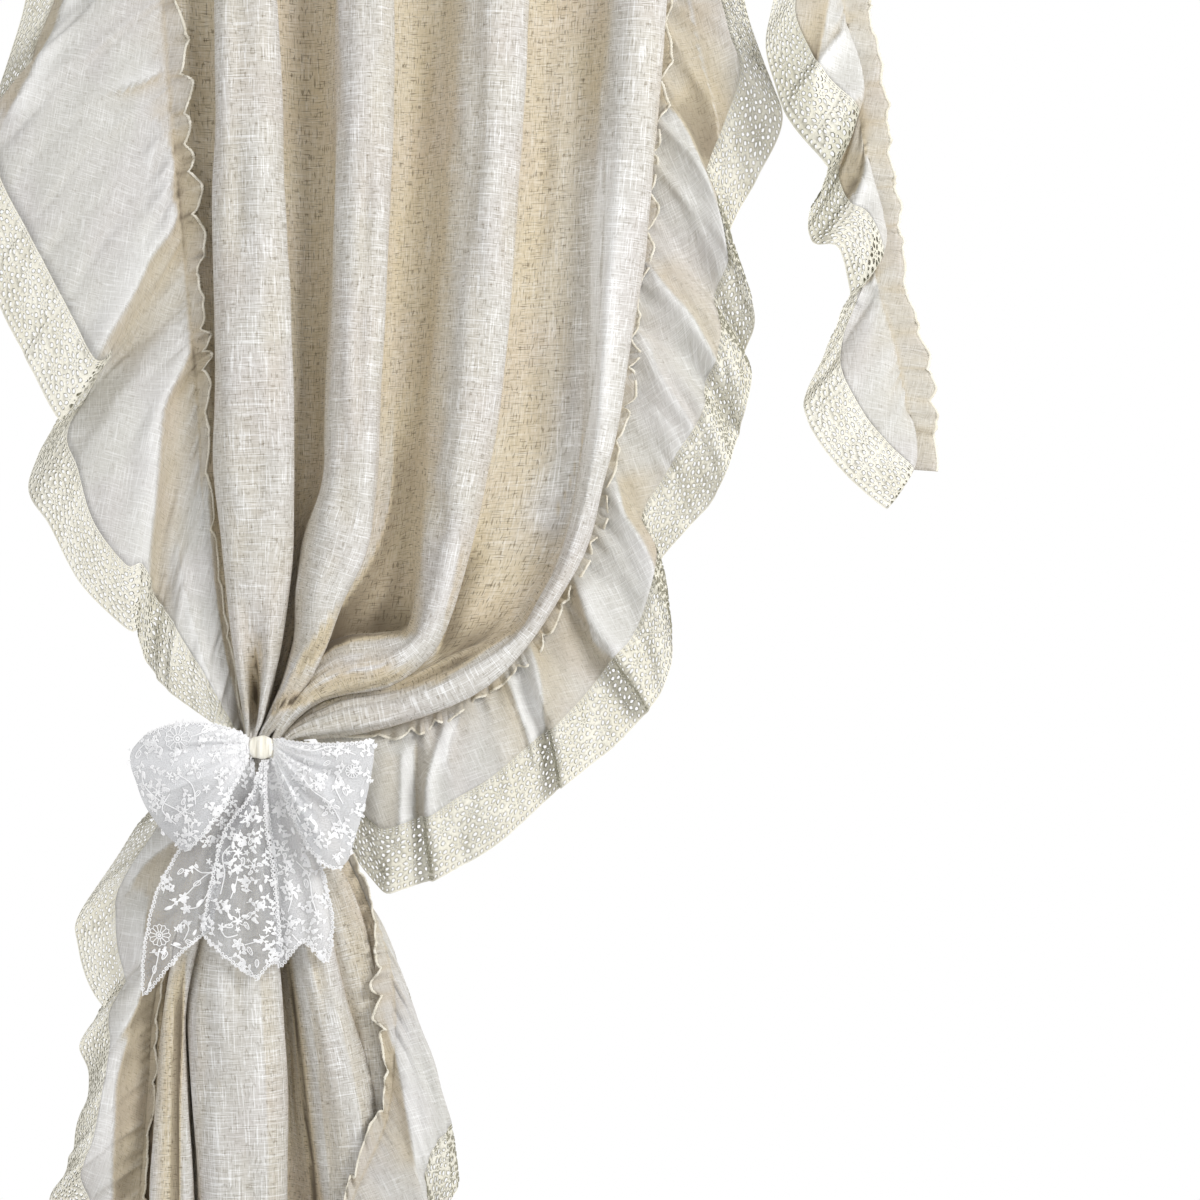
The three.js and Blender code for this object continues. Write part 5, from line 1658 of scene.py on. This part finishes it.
class Drape:
    """Depth of a net's front at any place of x and drop."""

    def __init__(self, grid: Array, edge: float = 0.0034) -> None:
        """Notes the points of the grid; edge is how far off them a stitch may be, in metres.

        Args:
            grid: the net.
            edge: that distance.
        """
        self.edge = edge
        self.points = points = grid.reshape(-1, 3)
        self.depths = points[:, 1]
        self.tree = KDTree(len(points))
        for index, (x, _, z) in enumerate(points):
            self.tree.insert((x, 0.0, z), index)
        self.tree.balance()

    def laid(self, x: Array, drop: Array, lift: Array) -> Array:
        """Points on the net, in front of it by lift; none where there is no net.

        Args:
            x: places, as in the tables.
            drop: places, as in the tables.
            lift: distance in front, in metres.

        Returns:
            The points, with nan where the net ends.
        """
        nearest, blur = 3, 1e-4
        points = placed(x, drop, 0 * x)
        for point, up in zip(points.reshape(-1, 3), np.ravel(lift)):
            found = self.tree.find_n((point[0], 0.0, point[2]), nearest)
            if found[0][2] > self.edge:
                point[1] = np.nan
                continue
            weights = np.array([1 / (away + blur) for _, _, away in found])
            depths = self.depths[[index for _, index, _ in found]]
            point[1] = np.sum(weights * depths) / np.sum(weights) - up
        return points


@dataclass
class Embroidery:
    """White embroidery on one net: satin stitches and corded lines, raised in their middle."""

    drape: Drape
    lift: float = 0.0007
    high: float = 0.0007
    parts: list[Cloth] = field(default_factory=list)

    def strip(self, path: Array, half: Array | float) -> None:
        """Lays one line of stitches along a path of x and drop, with its half width in mm.

        Args:
            path: the line's points.
            half: its half width.
        """
        path = np.asarray(path, float)
        run = np.gradient(path, axis=0)
        run /= np.maximum(np.hypot(run[:, 0], run[:, 1]), 1e-9)[:, None]
        side = np.stack([run[:, 1], -run[:, 0]], axis=1) * np.broadcast_to(half, len(path))[:, None]
        flat = np.stack([path - side, path, path + side], axis=1)
        lift = self.lift + self.high * np.array([0.0, 1.0, 0.0]) * np.ones((len(path), 1))
        points = self.drape.laid(flat[..., 0], flat[..., 1], lift)
        cloth = Cloth.of_grid(points, flat * MM)
        good = ~np.isnan(cloth.points[cloth.faces][..., 1]).any(axis=1)
        if good.any():
            cloth.faces = cloth.faces[good]
            self.parts.append(cloth)

    def line(self, path: Rows, half: float = 0.6) -> None:
        """Stem that follows a smooth path."""
        self.strip(smooth(path, np.linspace(0, len(path) - 1, 7 * len(path))), half)

    def leaf(self, x: float, drop: float, size: float, turn: float, filled: bool) -> None:
        """Leaf with its middle at a place: satin if filled, else an outline with a vein.

        Args:
            x: of its middle.
            drop: of its middle.
            size: its length in mm.
            turn: in radians.
            filled: whether it is satin.
        """
        t = np.linspace(-1, 1, 9)
        run, side = np.array([math.cos(turn), math.sin(turn)]), np.array([-math.sin(turn), math.cos(turn)])
        middle = np.array([x, drop]) + t[:, None] * run * size / 2
        swell = np.sqrt(np.maximum(1 - t * t, 0)) * (1 - 0.25 * t) * size * 0.21
        if filled:
            self.strip(middle, 0.8 * swell + 0.25)
            return
        self.strip(middle + side * swell[:, None], 0.55)
        self.strip(middle - side * swell[:, None], 0.55)
        self.strip(middle[1:-1], 0.35)

    def blossom(self, x: float, drop: float, size: float, turn: float) -> None:
        """Flower of five satin petals.

        Args:
            x: of its middle.
            drop: of its middle.
            size: a petal's length in mm.
            turn: in radians.
        """
        for k in range(5):
            way = turn + math.tau * k / 5
            reach = 0.6 * size
            self.leaf(x + reach * math.cos(way), drop + reach * math.sin(way), size, way, size < 4.5)
        ring = np.linspace(0, math.tau, 9)
        self.strip(np.stack([x + 0.7 * np.cos(ring), drop + 0.7 * np.sin(ring)], axis=1), 0.7)

    def daisy(self, x: float, drop: float, size: float) -> None:
        """Daisy of outlined petals round a ring.

        Args:
            x: of its middle.
            drop: of its middle.
            size: its radius in mm.
        """
        count = 12
        ring = np.linspace(0, math.tau, 25)
        around = np.stack([np.cos(ring), np.sin(ring)], axis=1)
        for reach, half in ((0.12, 0.8), (0.3, 0.55)):
            self.strip(np.array([x, drop]) + around * reach * size, half)
        self.strip(np.array([x, drop]) + around * size * (0.93 + 0.07 * np.cos(count * ring))[:, None], 0.5)
        for k in range(count):
            way = math.tau * (k + 0.5) / count
            line = np.linspace(0.34, 0.9, 5)[:, None] * size
            self.strip(np.array([x, drop]) + line * (math.cos(way), math.sin(way)), 0.5)

    def cluster(self, x: float, drop: float, size: float, turn: float) -> None:
        """Spray: a blossom with smaller ones, leaves and short stems round it.

        Args:
            x: of its middle.
            drop: of its middle.
            size: its radius in mm.
            turn: in radians.
        """
        self.blossom(x, drop, 0.3 * size, turn)
        for k in range(6):
            way = turn + math.tau * k / 6
            reach = size * (0.72 if k % 2 else 0.62)
            px, pd = x + reach * math.cos(way), drop + reach * math.sin(way)
            if k % 3 == 0:
                self.blossom(px, pd, 0.2 * size, turn + k)
            else:
                self.leaf(px, pd, 0.6 * size, way + 0.5, k % 2 == 0)
            bend = way + 0.35
            mid = (x + 0.35 * size * math.cos(bend), drop + 0.35 * size * math.sin(bend))
            self.line(((x, drop), mid, (px, pd)), 0.45)

    def work(self, motifs: Motifs, stems: Sequence[Rows] = ()) -> None:
        """Works a table of motifs, then stems.

        Args:
            motifs: the table.
            stems: the stems' paths.
        """
        for motif, x, drop, size, degrees in motifs:
            turn = math.radians(degrees)
            if motif is Motif.DAISY:
                self.daisy(x, drop, size)
            elif motif is Motif.BLOSSOM:
                self.blossom(x, drop, 0.8 * size, turn)
            elif motif is Motif.CLUSTER:
                self.cluster(x, drop, size, turn)
            else:
                self.leaf(x, drop, size, turn, motif is Motif.LEAF)
        for stem in stems:
            self.line(stem)

    def filled(self, count: int, seed: int, room: float = 9.0) -> None:
        """Lays small sprigs where the net is still bare.

        Args:
            count: how many places to try.
            seed: of the random draws.
            room: width that has to be bare, in mm.
        """
        chance = np.random.default_rng(seed)
        points = self.drape.points
        taken = np.concatenate([cloth.points[:, [0, 2]] for cloth in self.parts])
        for _ in range(count):
            point = points[chance.integers(len(points))]
            if np.min(np.hypot(*(taken - point[[0, 2]]).T)) < room / 2 * MM:
                continue
            x, drop = point[0] / MM - DATUM_X, -point[2] / MM - DATUM_DROP
            turn, bend = chance.uniform(0, 6.3), chance.uniform(-1, 1)
            for step in range(5):
                way = turn + bend * step / 4
                end = (x + 3 * math.cos(way), drop + 3 * math.sin(way))
                self.strip(np.array([(x, drop), end]), 0.4)
                x, drop = end
                lean = way + (0.9 if step % 2 else -0.9)
                self.leaf(x + 2.2 * math.cos(lean), drop + 2.2 * math.sin(lean), 4.4, lean, step == 2)
            self.blossom(x, drop, 2.3, turn)
            new = [cloth.points[:, [0, 2]] for cloth in self.parts[-24:]]
            taken = np.concatenate([taken, *new])

    def picots(self, path: Array, pitch: float = 4.6, size: float = 1.7) -> None:
        """Row of small loops along an edge given by points in metres.

        Args:
            path: the edge.
            pitch: between loops, in mm.
            size: a loop's radius, in mm.
        """
        length = running_length(path, 0) / MM
        count = int(length[-1] / pitch)
        for k in range(1, count):
            at = [np.interp(k * pitch, length, path[:, axis]) / MM for axis in (0, 2)]
            x, drop = at[0] - DATUM_X, -at[1] - DATUM_DROP
            ring = np.linspace(0, math.tau, 8)
            self.strip(np.stack([x + size * np.cos(ring), drop + size * np.sin(ring)], axis=1), 0.5)


# Middle of the knot: x, drop and depth.
KNOT_PLACE: Place = (265.5, 745.0, -42.0)


@dataclass(frozen=True)
class Layer:
    """Front or back of a loop: depth at the knot, lean outwards, and its parts of puff and sag."""

    root: float
    lean: float
    puff_share: float
    puff: float
    sag: float


LOOP_FRONT = Layer(-45.0, -10.0, 0.85, 0.0, 1.0)
LOOP_BACK = Layer(-41.0, -11.0, 0.0, 15.0, 0.9)


@dataclass
class Net:
    """A piece of the bow: net with embroidery and corded, scalloped edges on it."""

    name: str
    node: str
    table: Rows
    motifs: Motifs
    white: float = 0.0
    sprigs: int = 60
    cut: Cut = Cut(0.1, 0.24, Held.FOLDED)
    rows: int = 80
    columns: int = 64

    def grid(self) -> Array:
        """Grid of the whole net."""
        raise NotImplementedError

    def front(self, grid: Array) -> Array:
        """The part of the grid that is embroidered."""
        return grid

    def edges(self, front: Array) -> list[tuple[Array, Array]]:
        """Corded edges, each as points and the next points inwards."""
        return [(front[:, 0], front[:, 1]), (front[:, -1], front[:, -2]), (front[-1], front[-2])]

    def density(self, grid: Array) -> Array:
        """How closely the net is gathered, from nought to one.

        Args:
            grid: the net.

        Returns:
            The share at each point.
        """
        knot = placed(*(np.array(value) for value in KNOT_PLACE))
        away = np.linalg.norm((grid - knot)[..., [0, 2]], axis=-1)
        return clamp(self.white + 0.9 * np.exp(-((away / 0.042) ** 2)))

    def build(self) -> list[bpy.types.Object]:
        """Makes the net and its embroidery.

        Returns:
            The two pieces.
        """
        grid = self.grid()
        uv = np.stack([running_length(grid, 1), running_length(grid, 0)], axis=-1)
        net = Cloth.of_grid(grid, uv, self.density(grid)).object(self.name, NET.material())
        front = self.front(grid)
        work = Embroidery(Drape(front))
        work.work(self.motifs, STEMS)
        work.filled(self.sprigs * 8, len(self.motifs))
        cords = []
        for path, inner in self.edges(front):
            side = inner - path
            side /= np.maximum(np.linalg.norm(side, axis=1, keepdims=True), 1e-9)
            normal = np.cross(np.gradient(path, axis=0), side)
            normal /= np.maximum(np.linalg.norm(normal, axis=1, keepdims=True), 1e-9)
            cords.append(Cording(0.0006, 0.0006, 0.0022).along(path, normal, side))
            work.picots(path + side * 0.0004)
        stitches = joined([*work.parts, *cords]).object(f"{self.name}_embroidery", FLOSS.material())
        self.cut.declare(net, ["knot"], [stitches])
        return [fit(net, [self.node]), fit(stitches)]


@dataclass
class BowLoop(Net):
    """Loop of the bow: net that runs out from the knot, round the outer fold and back behind."""

    scallop: float = 0.2
    pleat: float = 1.6

    def layer(self, places: Array, stations: Array, layer: Layer) -> Array:
        """Points of the front or the back of the loop.

        Args:
            places: where, counted in the table's rows.
            stations: share of the way out from the knot.
            layer: LOOP_FRONT or LOOP_BACK.

        Returns:
            The points.
        """
        root_x, root_drop, x, drop, sag, puff = np.moveaxis(smooth(self.table, places), -1, 0)
        hump = 4 * stations * (1 - stations)
        depth = layer.root + layer.lean * stations
        depth = depth - (layer.puff_share * puff + layer.puff) * hump
        depth = depth + self.pleat * np.sin(places * 7.3) * np.sin(math.pi * np.minimum(1, 1.4 * stations))
        return placed(
            mix(root_x, x, stations), mix(root_drop, drop, stations) + sag * layer.sag * hump, depth
        )

    def grid(self) -> Array:
        """Grid of the loop: rows run over the front and back, columns from top to lower edge.

        Returns:
            The grid.
        """
        out = np.linspace(0, 1, self.rows)
        ease = out * 0.35 + 0.65 * np.sin(out * math.pi / 2)
        last = len(self.table) - 1
        grids = []
        for stations, layer in ((ease, LOOP_FRONT), (ease[-2::-1], LOOP_BACK)):
            waves = np.abs(np.sin(stations * math.pi * 9)) * soft_step(stations, 0.1, 0.35)
            places = np.linspace(0, 1, self.columns)[None] * (last + self.scallop * waves)[:, None]
            grids.append(self.layer(places, np.broadcast_to(stations[:, None], places.shape), layer))
        return np.concatenate(grids)

    def front(self, grid: Array) -> Array:
        """The front layer."""
        return grid[: self.rows]

    def edges(self, front: Array) -> list[tuple[Array, Array]]:
        """The top and the lower edge of the front."""
        return super().edges(front)[:2]


@dataclass
class BowTail(Net):
    """Tail of the bow: a strip of net whose soft pleats open towards a scalloped end."""

    point_at: float = 0.5
    waves: int = 6
    spread: float = 2.6

    def grid(self) -> Array:
        """Grid of the tail: rows run down, columns from left to right.

        Returns:
            The grid.
        """
        last = len(self.table) - 1
        share = np.linspace(0, 1, self.columns)
        end = last + 0.08 * np.abs(np.sin(share * math.pi * self.waves))
        places = np.linspace(0, 1, self.rows)[:, None] * end[None]
        left_x, left_drop, right_x, right_drop, depth, dip = np.moveaxis(smooth(self.table, places), -1, 0)
        pleat = 1.8 * np.cos(share * 4 * math.pi) * np.minimum(1, places / 2)
        edge = np.interp(share, [0, self.point_at, 1], [0, 1, 0])
        side = (self.spread + 0.9 * np.abs(np.sin(places * math.pi * 2.2))) * np.minimum(1, places / 2)
        lean = (2 * share - 1) * np.abs(2 * share - 1) ** 6
        return placed(
            mix(left_x, right_x, share) + side * lean,
            mix(left_drop, right_drop, share) + dip * mix(4 * share * (1 - share), edge, 0.7),
            depth + pleat,
        )


@dataclass
class Knot:
    """Knot of cream band: a rounded block with upright ribs and painted shade in the grooves between them."""

    x: float = 265.5
    drop: float = 745.5
    depth: float = -41.6
    half: tuple[float, float, float] = (12.6, 12.3, 8.3)
    corner: float = 0.86

    def build(self) -> bpy.types.Object:
        """Makes the knot.

        Returns:
            The piece.
        """
        quarter = math.pi / 2
        turn, level = np.meshgrid(np.linspace(0, math.tau, 97), np.linspace(-quarter, quarter, 49))
        x, forwards, up = np.cos(level) * np.cos(turn), np.cos(level) * np.sin(turn), np.sin(level)
        folds = 0.13 * np.cos(9 * x + 0.7 * up + 0.6) + 0.08 * np.cos(16 * x - 1.1 * up + 1)
        folds += 0.03 * np.cos(31 * x)
        rib = 1 + folds
        waist = 1 - 0.1 * (1 - np.abs(x)) * up**2 + 0.05 * np.sin(7 * x + 1) * np.abs(up)
        x, forwards, up = (np.sign(value) * np.abs(value) ** self.corner for value in (x, forwards, up))
        points = placed(
            self.x + self.half[0] * x, self.drop - self.half[1] * up * waist,
            self.depth - self.half[2] * forwards * rib,
        )
        uv = np.stack([turn * 0.008, level * 0.012], axis=-1)
        # Painted shade in the grooves between the ribs.
        piece = Cloth.of_grid(points, uv, clamp(0.3 - 4 * folds)).object("knot", BAND_CLOTH.material())
        return fit(piece, ["bow_knot"])


@dataclass
class Band:
    """Band of cream cloth round the gathered bundle."""

    cut: Cut = Cut(0.014, 0.26, Held.STRETCHED)

    def build(self) -> bpy.types.Object:
        """Dresses the band's solid, which keeps its form.

        Returns:
            The piece.
        """
        piece = bpy.data.objects["tie_band"]
        piece.data.materials.clear()
        piece.data.materials.append(BAND_CLOTH.material())
        self.cut.declare(piece, ["linen_panel"])
        LOG.info("%s: dressed", piece.name)
        return piece


@dataclass
class Studio:
    """Camera, soft lights, world and floor, in metres, millimetres of lens and watts."""

    camera_place: Place = (0.2, -3.5, -1.1)
    lens: float = 105
    sensor: float = 36
    floor_half: float = 1.8
    floor_level: float = -2.03
    lamps: tuple[tuple[Place, Place, float, float], ...] = (
        ((1.9, -1.9, -0.1), (0.0, 0.0, -1.1), 1.0, 52),
        ((-1.7, -2.2, 0.2), (0.0, 0.0, -1.0), 1.4, 12),
    )

    def light(self, place: Place, aim: Place, size: float, power: float) -> None:
        """Adds one soft area light.

        Args:
            place: where it stands.
            aim: what it points at.
            size: of its square.
            power: in watts.
        """
        data = bpy.data.lights.new("soft_light", "AREA")
        data.shape, data.size, data.energy = "SQUARE", size, power
        lamp = bpy.data.objects.new("soft_light", data)
        lamp.location = place
        lamp.rotation_mode = "QUATERNION"
        lamp.rotation_quaternion = (Vector(aim) - Vector(place)).to_track_quat("-Z", "Y")
        bpy.context.scene.collection.objects.link(lamp)

    def world(self) -> None:
        """White behind the curtain, softer light from the front."""
        world = bpy.data.worlds.new("studio")
        world.use_nodes = True
        bpy.context.scene.world = world
        tree = world.node_tree
        place = tree.nodes.new("ShaderNodeTexCoord")
        split = tree.nodes.new("ShaderNodeSeparateXYZ")
        ramp = tree.nodes.new("ShaderNodeMapRange")
        tree.links.new(place.outputs["Generated"], split.inputs[0])
        tree.links.new(split.outputs["Y"], ramp.inputs["Value"])
        for key, value in (("From Min", -0.2), ("From Max", 0.5), ("To Min", 0.6), ("To Max", 1.0)):
            ramp.inputs[key].default_value = value
        tree.links.new(ramp.outputs[0], tree.nodes["Background"].inputs["Strength"])
        tree.nodes["Background"].inputs["Color"].default_value = (1, 1, 1, 1)

    def build(self) -> None:
        """Sets up the studio."""
        self.world()
        data = bpy.data.cameras.new("front")
        data.lens, data.sensor_width = self.lens, self.sensor
        camera = bpy.data.objects.new("front", data)
        camera.location = self.camera_place
        camera.rotation_euler = (math.pi / 2, 0, 0)
        bpy.context.scene.collection.objects.link(camera)
        bpy.context.scene.camera = camera
        for lamp in self.lamps:
            self.light(*lamp)
        bpy.context.scene.view_settings.view_transform = "Standard"
        mesh = bpy.data.meshes.new("floor")
        half, level = self.floor_half, self.floor_level
        corners = [(-half, -half, level), (half, -half, level), (half, half, level), (-half, half, level)]
        mesh.from_pydata(corners, [], [(0, 1, 2, 3)])
        floor = bpy.data.objects.new("floor", mesh)
        n = Nodes("pale_floor")
        n.dress(Base_Color=(0.85, 0.85, 0.85, 1.0), Roughness=0.9)
        mesh.materials.append(n.material)
        bpy.context.scene.collection.objects.link(floor)


def main() -> None:
    """Builds the curtain's pieces in order, then the studio."""
    logging.basicConfig(level=logging.INFO, format="%(message)s")
    repeat = LaceRepeat()
    LOG.info("lace repeat: %d triangles", len(repeat.faces))
    panel = Panel().build()
    ruffles = [
        Ruffle(
            "left_ruffle", LEFT_SEAM, LEFT_RAYS, "ruffle_left", "lace_left", 820, 36, 11,
            Cut(0.10, 2.26, Held.GATHERED), Cut(0.055, 2.53, Held.GATHERED, 0.10), ridges=LEFT_RIDGES,
        ),
        Ruffle(
            "right_ruffle", RIGHT_SEAM, RIGHT_RAYS, "ruffle_right", "lace_right", 860, 39, 23,
            Cut(0.095, 2.25, Held.GATHERED), Cut(0.053, 2.76, Held.GATHERED, 0.105), ridges=RIGHT_RIDGES,
            weave=-0.35, lace_shade=0.0, rim_shade=1.2,
        ),
        Ruffle(
            "tail_ruffle", TAIL_SEAM, TAIL_RAYS, "side_tail", "side_tail_lace", 380, 16, 37,
            Cut(0.058, 1.08, Held.GATHERED), Cut(0.04, 1.19, Held.GATHERED, 0.036), (), TAIL_RIDGES,
            lace_shade=0.6, scallop=0.28,
        ),
    ]
    pieces = [panel]
    pieces += [piece for ruffle in ruffles for piece in ruffle.build(repeat)]
    nets = [
        BowLoop("left_loop", "bow_loop_left", LEFT_LOOP, LEFT_LOOP_MOTIFS, 0.45,
                cut=Cut(0.09, 0.25, Held.FOLDED)),
        BowLoop("right_loop", "bow_loop_right", RIGHT_LOOP, RIGHT_LOOP_MOTIFS, 0.5,
                cut=Cut(0.09, 0.23, Held.FOLDED)),
        BowTail("left_tail", "bow_tail_left", BOW_TAIL_LEFT, LEFT_TAIL_MOTIFS, sprigs=12,
                cut=Cut(0.05, 0.26, Held.HUNG, 0.0097)),
        BowTail("middle_tail", "bow_tail_middle", BOW_TAIL_MIDDLE, MIDDLE_TAIL_MOTIFS, point_at=0.7,
                cut=Cut(0.07, 0.22, Held.HUNG, 0.0105)),
        BowTail("right_tail", "bow_tail_right", BOW_TAIL_RIGHT, RIGHT_TAIL_MOTIFS, 0.6,
                cut=Cut(0.05, 0.22, Held.HUNG, 0.0083)),
    ]
    pieces += [piece for net in nets for piece in net.build()]
    pieces += [Knot().build(), Band().build()]
    Studio().build()
    LOG.info("pieces: %d", len(pieces))
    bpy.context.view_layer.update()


if __name__ == "__main__":
    main()
